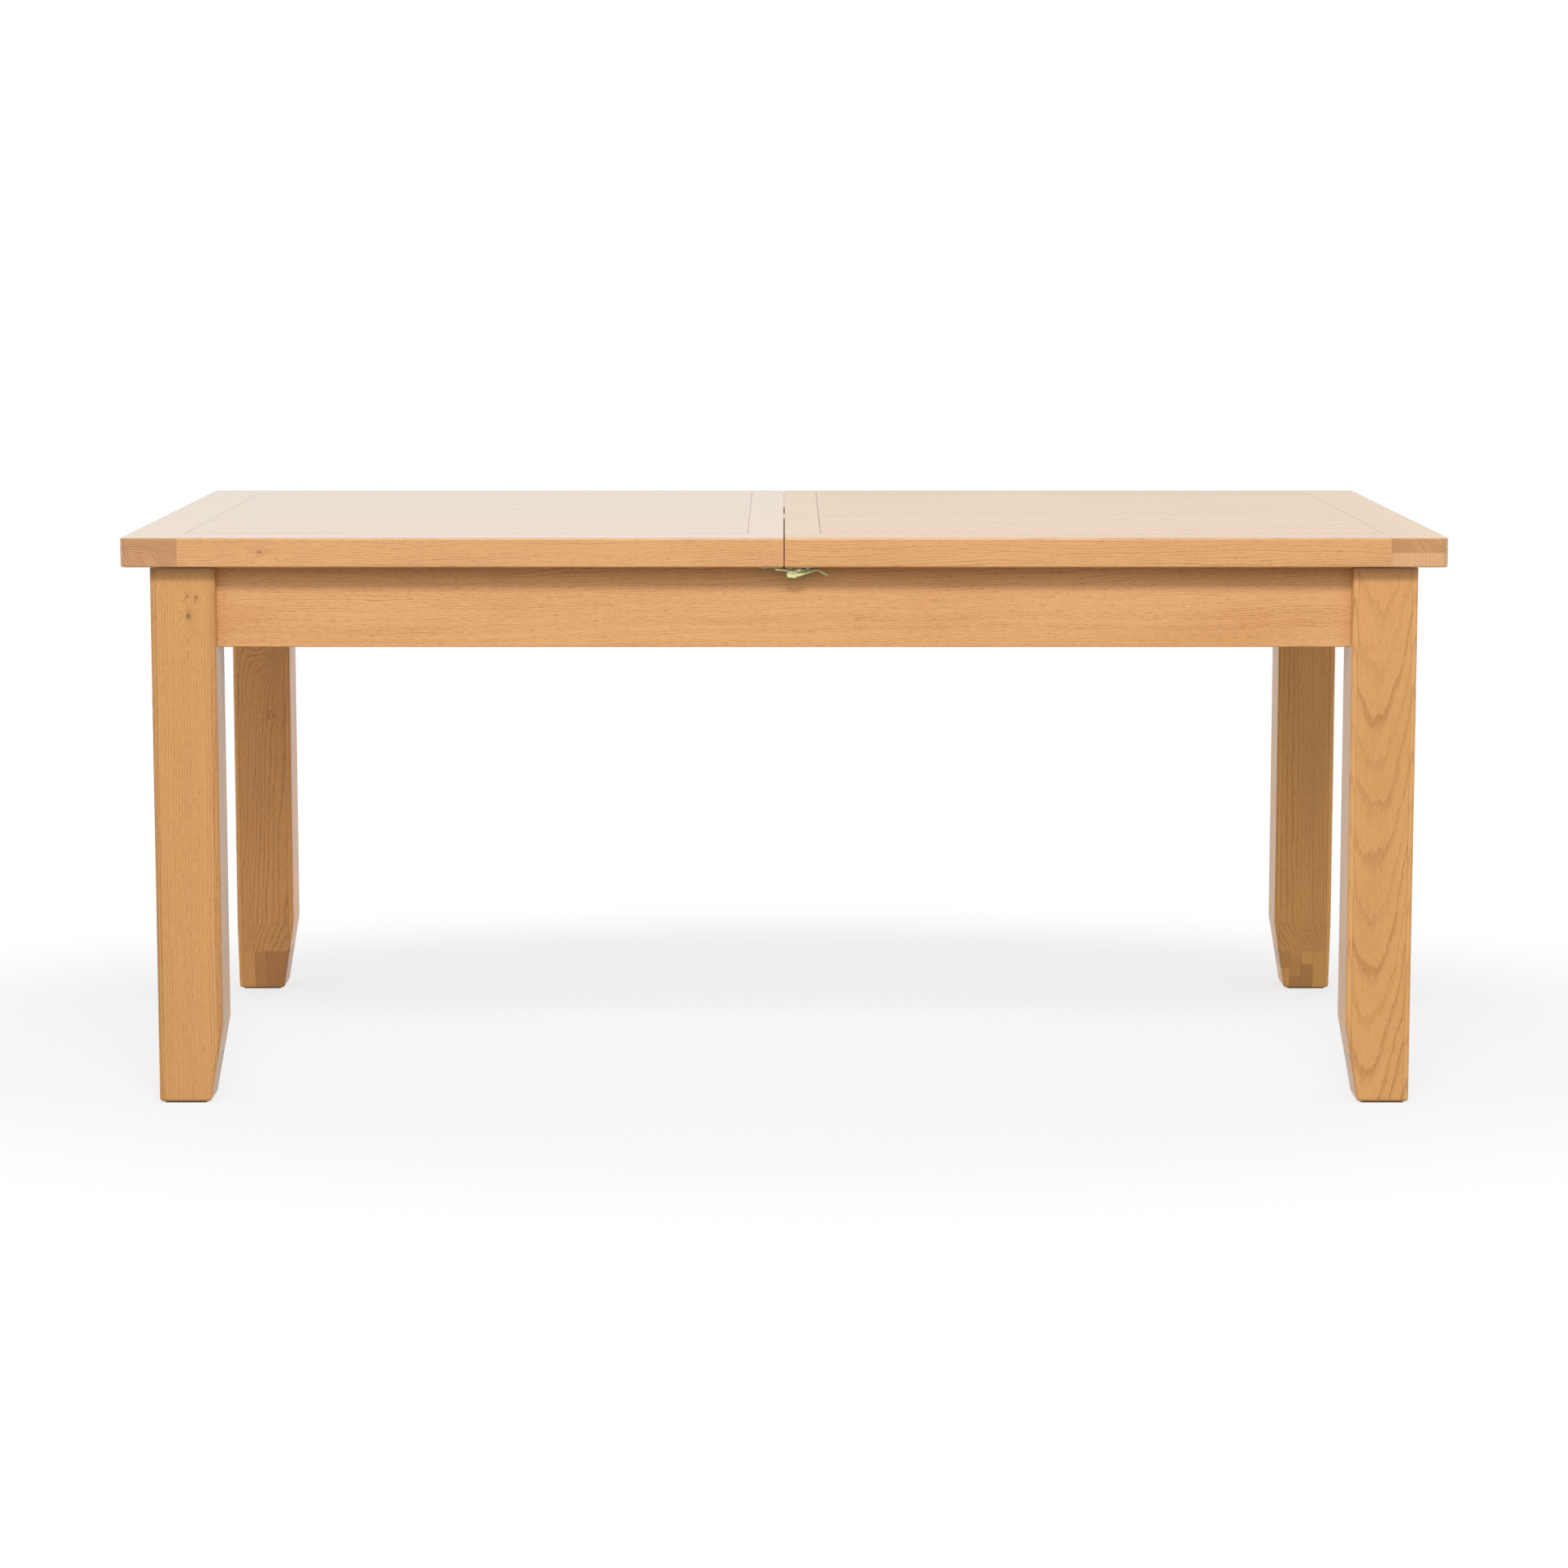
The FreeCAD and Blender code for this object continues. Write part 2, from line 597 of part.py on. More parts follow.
def lever(end):
    """The pressed lever: two triangular cheeks, a web between them and a turned-down finger tab."""
    nose = PIVOT_X - LEVER_NOSE_RADIUS
    profile = [
        (nose, PIVOT_DROP),
        (nose + LEVER_NOSE_RADIUS / 3, PIVOT_DROP + LEVER_NOSE_RADIUS),
        (LEVER_DEEPEST_X, LEVER_DEPTH),
        (LEVER_BEND_X, LEVER_TOP_DROP + LATCH_SHEET),
        (LEVER_BEND_X, LEVER_TOP_DROP),
        (LEVER_WEB_START, LEVER_TOP_DROP),
        (PIVOT_X, PIVOT_DROP - LEVER_NOSE_RADIUS),
    ]
    pieces = []
    for turn in SIDES.values():
        near = min(turn * CHEEK_INNER, turn * CHEEK_OUTER)
        outline = [latch_point(x, near, drop, end) for x, drop in profile]
        pieces.append(prism(outline, ACROSS * LATCH_SHEET))
    web_bottom = LEVER_TOP_DROP + LATCH_SHEET
    web = latch_block(LEVER_WEB_START, LEVER_BEND_X, -CHEEK_OUTER, CHEEK_OUTER, LEVER_TOP_DROP, web_bottom, end)
    tab = [
        latch_point(LEVER_BEND_X, -CHEEK_OUTER, LEVER_TOP_DROP, end),
        latch_point(FINGER_END_X, -CHEEK_OUTER, FINGER_DROP, end),
        latch_point(FINGER_END_X - LATCH_SHEET, -CHEEK_OUTER, FINGER_DROP + LATCH_SHEET, end),
        latch_point(LEVER_BEND_X, -CHEEK_OUTER, web_bottom, end),
    ]
    pieces += [web, prism(tab, ACROSS * (2 * CHEEK_OUTER))]
    body = fuse(pieces)
    for x, drop, radius in ((PIVOT_X, PIVOT_DROP, PIN_RADIUS), (BAIL_X, BAIL_DROP, WIRE_RADIUS)):
        start = latch_point(x, -LATCH_WIDTH / 2, drop, end)
        body = body.cut(rod(start, ACROSS, LATCH_WIDTH, radius + PIN_CLEARANCE))
    return body


def bail(end):
    """The wire loop: its two ends turn in through the cheeks and its far bar sits behind the hook."""
    route = [
        latch_point(BAIL_X, -CHEEK_INNER, BAIL_DROP, end),
        latch_point(BAIL_X, -WIRE_Y, BAIL_DROP, end),
        latch_point(-BAR_X, -WIRE_Y, BAR_DROP, end),
        latch_point(-BAR_X, WIRE_Y, BAR_DROP, end),
        latch_point(BAIL_X, WIRE_Y, BAIL_DROP, end),
        latch_point(BAIL_X, CHEEK_INNER, BAIL_DROP, end),
    ]
    pieces = [Part.makeSphere(WIRE_RADIUS, corner) for corner in route[1:-1]]
    for start, stop in zip(route, route[1:]):
        run = stop - start
        pieces.append(rod(start, run, run.Length, WIRE_RADIUS))
    return fuse(pieces)


def cross_rail(side):
    """A rail from apron to apron that carries the bearers and the leaf rests."""
    middle = side * CROSS_RAIL_X
    half = CROSS_RAIL_THICKNESS / 2
    low = BEARER_BOTTOM - CROSS_RAIL_HEIGHT
    body = block(middle - half, middle + half, -APRON_INNER_Y, APRON_INNER_Y, low, BEARER_BOTTOM)
    return body.cut(arm_pin(side))


def rest_top():
    return LEAF_FACE - LEAF_THICKNESS - FELT_THICKNESS


def leaf_rests():
    reach = CROSS_RAIL_X - CROSS_RAIL_THICKNESS / 2
    top = rest_top()
    half = REST_WIDTH / 2
    return [block(-reach, reach, end * (REST_Y - half), end * (REST_Y + half), top - REST_HEIGHT, top)
            for end in ENDS.values()]


def felt_strips():
    reach = LEAF_LENGTH / 2 - FELT_SETBACK
    top = rest_top()
    half = FELT_WIDTH / 2
    return [block(-reach, reach, end * (REST_Y - half), end * (REST_Y + half), top, top + FELT_THICKNESS)
            for end in ENDS.values()]


def leaf_board(turn):
    """One leaf panel of the folded pair: turn is -1 for the lower one, face up, and +1 for the upper one."""
    reach = LEAF_LENGTH / 2
    far = LEAF_FACE + turn * LEAF_THICKNESS
    board = block(-reach, reach, -LEAF_HALF, LEAF_HALF - RAIL, LEAF_FACE, far)
    for step in (-1, 0, 1):
        board = board.cut(hinge_barrel(step, turn))
    return board


def leaf_lipping(turn):
    """The deep edge plank of a leaf panel, as thick as the rim of the top."""
    reach = LEAF_LENGTH / 2
    return block(-reach, reach, LEAF_HALF - RAIL, LEAF_HALF, LEAF_FACE, LEAF_FACE + turn * TOP_EDGE)


def hinge_barrel(step, turn):
    z = LEAF_FACE + turn * LEAF_THICKNESS / 2
    return rod(Vector(step * HINGE_X, -LEAF_HALF, z), ACROSS, HINGE_BARREL_DEPTH, HINGE_BARREL_RADIUS)


def leaf_hinges():
    """Concealed hinges: two barrels let into the panel edges, joined by a link outside them."""
    made = []
    for step in (-1, 0, 1):
        half = HINGE_LINK_WIDTH / 2
        low = LEAF_FACE - LEAF_THICKNESS / 2 - HINGE_BARREL_RADIUS
        high = LEAF_FACE + LEAF_THICKNESS / 2 + HINGE_BARREL_RADIUS
        x = step * HINGE_X
        link = block(x - half, x + half, -LEAF_HALF - HINGE_LINK_THICKNESS, -LEAF_HALF, low, high)
        made.append(fuse([link, hinge_barrel(step, -1), hinge_barrel(step, 1)]))
    return made


def arm_pin(side):
    z = LEAF_FACE - LEAF_THICKNESS - ARM_DEPTH / 2
    start = Vector(side * (ARM_FACE - ARM_THICKNESS), 0, z)
    rail_face = CROSS_RAIL_X - CROSS_RAIL_THICKNESS / 2
    length = rail_face + ARM_PIN_IN_RAIL - ARM_FACE + ARM_THICKNESS
    return rod(start, ALONG * side, length, ARM_PIN_RADIUS)


def leaf_arm(side):
    """The steel angle under the lower leaf panel that swings it up on its pin."""
    under = LEAF_FACE - LEAF_THICKNESS
    outer = side * ARM_FACE
    half = ARM_LENGTH / 2
    upright = block(outer, outer - side * ARM_THICKNESS, -half, half, under - ARM_DEPTH, under)
    flange = block(outer, outer - side * ARM_FLANGE, -half, half, under - ARM_THICKNESS, under)
    return fuse([upright, flange]).cut(arm_pin(side))


def in_all_corners(pieces):
    return [in_quadrant(piece, side, end) for side in SIDES.values() for end in ENDS.values() for piece in pieces]


def base_nodes():
    nodes = {}
    screws = block_screws()[0]
    corner_screws = in_all_corners(screws)
    for end_name, end in ENDS.items():
        for side_name, side in SIDES.items():
            nodes[f"leg_{end_name}_{side_name}"] = in_quadrant(leg(), side, end)
            nodes[f"corner_block_{end_name}_{side_name}"] = in_quadrant(corner_block(), side, end)
        nodes[f"apron_{end_name}"] = apron_along(end).cut(Part.makeCompound(corner_screws))
        nodes[f"bearer_{end_name}"] = bearer(end)
    for side_name, side in SIDES.items():
        nodes[f"apron_{side_name}"] = apron_across(side).cut(Part.makeCompound(corner_screws))
        nodes[f"cross_rail_{side_name}"] = cross_rail(side)
    nodes["foot_pads"] = Part.makeCompound(in_all_corners([foot_pad()]))
    nodes["hanger_bolts"] = Part.makeCompound(in_all_corners(hanger_bolts()))
    nodes["flange_nuts"] = Part.makeCompound(in_all_corners(flange_nuts()))
    nodes["corner_screws"] = Part.makeCompound(corner_screws)
    nodes["slide_bumpers"] = Part.makeCompound(bumpers())
    return nodes


def leaf_nodes():
    nodes = {}
    for name, turn in (("lower", -1), ("upper", 1)):
        nodes[f"leaf_{name}_panel"] = leaf_board(turn)
        nodes[f"leaf_{name}_lipping"] = leaf_lipping(turn)
    nodes["leaf_hinges"] = Part.makeCompound(leaf_hinges())
    nodes["leaf_rests"] = Part.makeCompound(leaf_rests())
    nodes["leaf_felt_strips"] = Part.makeCompound(felt_strips())
    nodes["leaf_swing_arms"] = Part.makeCompound([leaf_arm(side) for side in SIDES.values()])
    nodes["leaf_arm_pins"] = Part.makeCompound([arm_pin(side) for side in SIDES.values()])
    return nodes


def top_nodes(name, side):
    """The pieces of one half of the top, with the slides, battens and screws that move with it."""
    blank = half_blank(side)
    blank = blank.cut(vee(side)).cut(panel_tongue(side, TONGUE_CLEARANCE))
    full = WIDTH
    inner = PANEL_HALF_WIDTH
    split = side * SPLIT_GAP / 2
    seam = side * PANEL_END
    tip = side * LENGTH / 2
    nodes = {
        f"{name}_end_plank_upper": block(seam, tip, -full, full, PANEL_UNDERSIDE, HEIGHT),
        f"{name}_end_plank_lower": block(seam, tip, -full, full, UNDERSIDE, PANEL_UNDERSIDE),
        f"{name}_front_rail": block(split, seam, -full, -inner, UNDERSIDE, HEIGHT),
        f"{name}_back_rail": block(split, seam, inner, full, UNDERSIDE, HEIGHT),
        f"{name}_centre_plank": block(split, side * PANEL_START, -inner, inner, UNDERSIDE, HEIGHT),
    }
    nodes = {key: blank.common(zone) for key, zone in nodes.items()}
    nodes[f"{name}_panel"] = panel(side)
    for key, start in batten_places().items():
        nodes[f"{name}_batten_{key}"] = batten(side, start)
    for end_name, end in ENDS.items():
        nodes[f"{name}_slide_{end_name}"] = slide(side, end)
    latch_screws = keeper_screws if side < 0 else base_screws
    screws = top_screws(side) + latch_screws(-1) + latch_screws(1)
    holes = Part.makeCompound(screws)
    for key in list(nodes):
        nodes[key] = nodes[key].cut(holes)
    centre = f"{name}_centre_plank"
    nodes[centre] = nodes[centre].cut(Part.makeCompound(dowels() if side < 0 else dowel_sockets()))
    nodes[f"{name}_screws"] = Part.makeCompound(screws)
    return nodes


def latch_nodes():
    nodes = {}
    for name, end in ENDS.items():
        nodes[f"{name}_lever"] = lever(end)
        nodes[f"{name}_bail"] = bail(end)
    nodes["latch_keepers"] = Part.makeCompound([keeper(end) for end in ENDS.values()])
    nodes["latch_bases"] = Part.makeCompound([latch_base(end) for end in ENDS.values()])
    nodes["latch_pins"] = Part.makeCompound([latch_pin(end) for end in ENDS.values()])
    return nodes


def main():
    os.makedirs("parts", exist_ok=True)
    nodes = base_nodes()
    nodes.update(leaf_nodes())
    for name, side in SIDES.items():
        nodes.update(top_nodes(name, side))
    nodes["alignment_dowels"] = Part.makeCompound(dowels())
    nodes.update(latch_nodes())
    for name, shape in nodes.items():
        shape.exportStep(f"parts/{name}.step")
    print(len(nodes), "nodes")


main()
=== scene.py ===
import json
import math

import bmesh
import bpy
from mathutils import Matrix, Vector

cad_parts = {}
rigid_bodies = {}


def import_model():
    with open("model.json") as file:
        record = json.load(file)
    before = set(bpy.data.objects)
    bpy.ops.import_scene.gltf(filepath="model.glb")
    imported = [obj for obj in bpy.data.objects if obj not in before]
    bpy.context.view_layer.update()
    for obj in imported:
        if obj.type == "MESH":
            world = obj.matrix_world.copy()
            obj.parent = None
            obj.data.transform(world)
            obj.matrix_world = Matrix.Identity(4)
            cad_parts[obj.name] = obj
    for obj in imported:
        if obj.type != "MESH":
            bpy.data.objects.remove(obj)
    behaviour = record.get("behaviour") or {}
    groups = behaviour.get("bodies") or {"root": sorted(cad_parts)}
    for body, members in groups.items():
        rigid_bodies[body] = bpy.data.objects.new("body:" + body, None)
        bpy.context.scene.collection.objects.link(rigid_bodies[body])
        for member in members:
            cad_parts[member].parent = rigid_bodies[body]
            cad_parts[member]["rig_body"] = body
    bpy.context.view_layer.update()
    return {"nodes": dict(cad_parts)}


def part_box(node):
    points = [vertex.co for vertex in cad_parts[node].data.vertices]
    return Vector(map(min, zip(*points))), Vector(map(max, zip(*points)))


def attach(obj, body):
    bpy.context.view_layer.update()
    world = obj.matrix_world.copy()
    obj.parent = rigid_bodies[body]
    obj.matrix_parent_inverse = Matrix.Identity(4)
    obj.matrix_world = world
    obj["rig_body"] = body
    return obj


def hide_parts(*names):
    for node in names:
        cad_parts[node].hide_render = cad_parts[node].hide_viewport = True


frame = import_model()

NODES = frame["nodes"]
SIDES = {"left": -1, "right": 1}
ENDS = {"front": -1, "back": 1}


# ---------------------------------------------------------------- shader maths

class Field:
    """A number or vector that varies over a surface. Python arithmetic on it adds Math nodes."""

    def __init__(self, wiring, socket):
        self.wiring = wiring
        self.socket = socket

    def maths(self, operation, other, swapped=False):
        pair = (other, self) if swapped else (self, other)
        return self.wiring.maths(operation, *pair)

    def __add__(self, other):
        return self.maths("ADD", other)

    def __radd__(self, other):
        return self.maths("ADD", other, True)

    def __sub__(self, other):
        return self.maths("SUBTRACT", other)

    def __rsub__(self, other):
        return self.maths("SUBTRACT", other, True)

    def __mul__(self, other):
        return self.maths("MULTIPLY", other)

    def __rmul__(self, other):
        return self.maths("MULTIPLY", other, True)

    def __truediv__(self, other):
        return self.maths("DIVIDE", other)


class Wiring:
    """A node tree, and the one way that nodes are added to it."""

    def __init__(self, tree):
        self.tree = tree
        self.tree.nodes.clear()

    def add(self, kind, settings=None, inputs=None, output=0):
        """Adds a node. Its settings are set first, then the values or links of its sockets."""
        node = self.tree.nodes.new(kind)
        for key, value in (settings or {}).items():
            setattr(node, key, value)
        for key, value in (inputs or {}).items():
            socket = node.inputs[key]
            for field in value if isinstance(value, list) else [value]:
                if isinstance(field, Field):
                    self.tree.links.new(field.socket, socket)
                elif socket.type == "RGBA":
                    socket.default_value = (*field, 1.0)
                else:
                    socket.default_value = field
        return Field(self, node.outputs[output]) if node.outputs else None

    def maths(self, operation, *values):
        return self.add("ShaderNodeMath", {"operation": operation}, dict(enumerate(values)))


class Finish(Wiring):
    """A material and the nodes that are added to it."""

    def __init__(self, name):
        self.material = bpy.data.materials.new(name)
        self.material.use_nodes = True
        super().__init__(self.material.node_tree)

    def least(self, *values):
        result = values[0]
        for value in values[1:]:
            result = self.maths("MINIMUM", result, value)
        return result

    def ramp(self, value, low, high, to_low=0.0, to_high=1.0):
        """A smooth step from to_low to to_high as value goes from low to high."""
        inputs = {0: value, 1: low, 2: high, 3: to_low, 4: to_high}
        return self.add("ShaderNodeMapRange", {"interpolation_type": "SMOOTHSTEP"}, inputs)

    def blend(self, factor, first, second, way="MIX"):
        settings = {"data_type": "RGBA", "blend_type": way}
        return self.add("ShaderNodeMix", settings, {0: factor, 6: first, 7: second}, 2)

    def vector(self, x, y, z):
        return self.add("ShaderNodeCombineXYZ", None, {0: x, 1: y, 2: z})

    def place(self):
        """The point on the surface, as x, y and z in metres."""
        point = self.add("ShaderNodeTexCoord", output="Object")
        return [self.add("ShaderNodeSeparateXYZ", None, {0: point}, i) for i in range(3)]

    def noise(self, vector, detail=2.0, roughness=0.5, output="Fac"):
        inputs = {"Vector": vector, "Scale": 1.0, "Detail": detail, "Roughness": roughness}
        return self.add("ShaderNodeTexNoise", None, inputs, output)

    def speckle(self, number):
        """A random number from 0 to 1 that stays the same wherever number does."""
        return self.add("ShaderNodeTexWhiteNoise", {"noise_dimensions": "1D"}, {"W": number}, "Value")

    def bump(self, height, distance, strength=1.0):
        inputs = {"Strength": strength, "Distance": distance, "Height": height}
        return self.add("ShaderNodeBump", None, inputs)

    def surface(self, **sockets):
        """Ends the material in a Principled shader. Names are the sockets' own, with _ for a space."""
        named = {key.replace("_", " "): value for key, value in sockets.items()}
        shader = self.add("ShaderNodeBsdfPrincipled", None, named)
        self.add("ShaderNodeOutputMaterial", None, {0: shader})
        return self.material


# ---------------------------------------------------------------- timber

# Linear colours of the timbers. Each has the darker colour of its rings and pores beside it.
HONEY = (0.655, 0.345, 0.135)
HONEY_DARK = (0.420, 0.188, 0.062)
APRON_OAK = (0.690, 0.385, 0.170)
STRAW = (0.665, 0.380, 0.112)
STRAW_DARK = (0.430, 0.210, 0.062)
GREY_STRAW = (0.590, 0.350, 0.125)
GREY_STRAW_DARK = (0.370, 0.190, 0.060)
LEG_OAK = (0.590, 0.312, 0.108)
PALE_LEG = (0.660, 0.348, 0.122)
LEG_DARK = (0.380, 0.168, 0.048)
TAWNY = (0.760, 0.375, 0.122)
TAWNY_DARK = (0.370, 0.150, 0.048)
OLIVE = (0.710, 0.375, 0.108)
OLIVE_DARK = (0.390, 0.170, 0.050)
CUT_END = ((0.550, 0.285, 0.115), (0.290, 0.122, 0.048))
PALE_CUT_END = ((0.660, 0.375, 0.175), (0.480, 0.240, 0.105))
BEECH = (0.690, 0.450, 0.255)
BEECH_DARK = (0.520, 0.300, 0.150)
BEECH_FLECK = (0.330, 0.155, 0.070)
ROSY = (0.610, 0.310, 0.115)
# The glue colour is also painted shade: it darkens the V-grooves round the panels.
GLUE_AND_GROOVE_SHADE = (0.230, 0.105, 0.038)
BARK_BROWN = (0.140, 0.058, 0.022)

# How often each figure repeats in a metre: across the grain, then along it.
DRIFT = (9.0, 2.4)
RIPPLE = (90.0, 22.0)
DASHES = (900.0, 95.0)
FIBRES = (2300.0, 150.0)
STREAKS = (650.0, 22.0)
CLOUDS = (18.0, 3.5)
FLECKS = (420.0, 95.0)
BANDS = (60.0, 2.0)
COARSE_FIBRES = (1400.0, 50.0)

# How much each figure darkens a face along the grain, and a face cut across it.
ON_FACE = {"rings": 0.42, "ring_dashes": 0.34, "dashes": 0.24, "streaks": 0.46, "fibres": 0.50,
           "clouds": 0.35, "halo": 0.32, "ground": 0.16}
ON_END = {"rings": 1.3, "dashes": 0.2, "fibres": 0.4, "clouds": 0.6, "ground": 0.12}

# One ring as a share of its width: how soon it is dark, and where it fades.
RING_DARK_BY = 0.07
RING_FADES = (0.09, 0.50)
FAINT_RING = 0.30
RIPPLE_DEPTH = 0.0022
LOG_BEND = 2.2
PORE_RANGE = (0.47, 0.68)
FLECK_RANGE = (0.60, 0.70)
END_RANGE = (0.5, 0.9)
ROSY_RANGE = (0.45, 0.75)
ROSY_SHARE = 0.35

# A knot's swirl, dark heart and halo, as multiples of its size along and across the grain.
SWIRL_REACH = (3.2, 1.8)
SWIRL_DEPTH = 1.9
HEART_REACH = (0.50, 0.34)
HALO_REACH = (1.5, 0.8)
HEART_SHARE = 0.85

# Glued-up legs: an outer strip on every side, and a core of blocks.
LAMELLA = 0.0078
GLUE_LINE = 0.0006
BLOCK_STAGGER = 0.4
STRIP_ALONG = 1.7
STRIP_ACROSS = 0.05
STRIP_TINT = 0.35
CORE_SHARE = 0.7
GLUE_SHARE = 0.6

PANEL_TONGUE = 0.008
VEE_WIDTH = 0.0011
VEE_BOTTOM = 0.4
VEE_DEPTH = 0.002
# How strongly the painted shade darkens the V-groove.
VEE_SHADE_SHARE = 0.75
LACQUER = {"left": 0.94, "right": 0.69}
LINE_DULL = 0.09
PORE_DEPTH = 0.00012
SAWN_DEPTH = 0.0001


def plank_axes(finish, grain, centre):
    """Coordinates along the grain, across it and through the plank, from the middle of the plank."""
    x, y, z = finish.place()
    x, y, z = x - centre.x, y - centre.y, z - centre.z
    return {"x": (x, y, z), "y": (y, x, z), "z": (z, x, y)}[grain]


def figure(finish, axes, repeat, shift=0.0, detail=2.0, roughness=0.6):
    """Cloudy noise drawn out along the grain."""
    along, across, deep = axes
    often, seldom = repeat
    place = finish.vector(across * often, deep * often, along * seldom + shift)
    return finish.noise(place, detail, roughness)


def knot_swirl(finish, along, across, knots):
    """How far the rings bulge round each knot, and how dark each knot's heart and halo are."""
    swirl, heart, halo = 0.0, 0.0, 0.0
    for knot_along, knot_across, size, darkness in knots:
        from_along = along - knot_along
        from_across = across - knot_across

        def patch(long_reach, cross_reach):
            stretched = from_along / (long_reach * size)
            squeezed = from_across / (cross_reach * size)
            return finish.maths("EXPONENT", (stretched * stretched + squeezed * squeezed) * -1.0)

        swirl = patch(*SWIRL_REACH) * (size * SWIRL_DEPTH) + swirl
        heart = finish.maths("MAXIMUM", patch(*HEART_REACH) * darkness, heart)
        halo = finish.maths("MAXIMUM", patch(*HALO_REACH) * darkness, halo)
    return swirl, heart, halo


def lamination(finish, low, high, blocks, step):
    """A leg's glued-up section: a number for each strip, a mask for the core, and the glue lines."""
    x, y, z = finish.place()
    from_sides = finish.least(x - low.x, high.x - x)
    from_faces = finish.least(y - low.y, high.y - y)
    inside = finish.maths("GREATER_THAN", from_sides, LAMELLA)
    core = inside * finish.maths("GREATER_THAN", from_faces, LAMELLA)
    block_width = (high.x - low.x - 2 * LAMELLA) / blocks
    column = finish.maths("FLOOR", (x - low.x - LAMELLA) / block_width)
    row = finish.maths("FLOOR", (z + column * (step * BLOCK_STAGGER)) / step)
    strip = inside * 3.0 + core * (4.0 + column + row * 5.0)
    near_side = finish.maths("ABSOLUTE", from_sides - LAMELLA)
    line = finish.ramp(near_side, 0.0, GLUE_LINE, 1.0, 0.0)
    across_block = finish.maths("FRACT", (x - low.x - LAMELLA) / block_width)
    edge = finish.least(across_block, 1.0 - across_block) * block_width
    block_line = finish.ramp(edge, 0.0, GLUE_LINE, 1.0, 0.0) * core
    return strip, core, finish.maths("MAXIMUM", line, block_line)


def end_grain(finish, grain):
    """1 on a face cut across the grain, 0 on a face along it."""
    normal = finish.add("ShaderNodeTexCoord", output="Normal")
    lengthways = finish.add("ShaderNodeSeparateXYZ", None, {0: normal}, "xyz".index(grain))
    return finish.ramp(finish.maths("ABSOLUTE", lengthways), *END_RANGE)


def vee_line(finish, panel):
    """1 in the V-groove round an inset panel, 0 away from it. It marks where the groove gets painted shade.
    """
    low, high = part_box(panel)
    x, y, z = finish.place()
    middle = (low + high) / 2
    half = (high - low) / 2
    past_ends = finish.maths("ABSOLUTE", x - middle.x) - (half.x - PANEL_TONGUE)
    past_sides = finish.maths("ABSOLUTE", y - middle.y) - (half.y - PANEL_TONGUE)
    off_line = finish.maths("ABSOLUTE", finish.maths("MAXIMUM", past_ends, past_sides))
    on_top = finish.maths("GREATER_THAN", z, high.z - VEE_DEPTH)
    return finish.ramp(off_line, VEE_WIDTH * VEE_BOTTOM, VEE_WIDTH, 1.0, 0.0) * on_top


def ring_radius(finish, axes, pith, taper, wander, swirl, seed):
    """How far a point is from the heart of the log, whose rings wander, ripple and bulge at knots."""
    along, across, deep = axes
    often, seldom = DRIFT
    drift = finish.vector(across * often + seed, deep * often, along * seldom)
    drift_colour = finish.noise(drift, 3.0, 0.55, "Color")
    shift = [finish.add("ShaderNodeSeparateXYZ", None, {0: drift_colour}, i) - 0.5 for i in range(3)]
    bent_across = across + shift[0] * (wander * LOG_BEND) - pith[0]
    bent_deep = deep + shift[1] * (wander * LOG_BEND) - pith[1]
    radius = finish.maths("SQRT", bent_across * bent_across + bent_deep * bent_deep)
    ripple = figure(finish, axes, RIPPLE, seed, roughness=0.5)
    return radius + along * taper + shift[2] * wander + (ripple - 0.5) * RIPPLE_DEPTH + swirl


def ring_darkness(finish, radius, ring, seed):
    """Dark at the start of each year's ring and fading through it. Some years are fainter."""
    count = radius / ring
    phase = finish.maths("FRACT", count)
    year = finish.speckle(finish.maths("FLOOR", count) + seed)
    fading = finish.ramp(phase, *RING_FADES, 1.0, 0.0)
    return finish.ramp(phase, 0.0, RING_DARK_BY) * fading * (FAINT_RING + year * (1.0 - FAINT_RING))


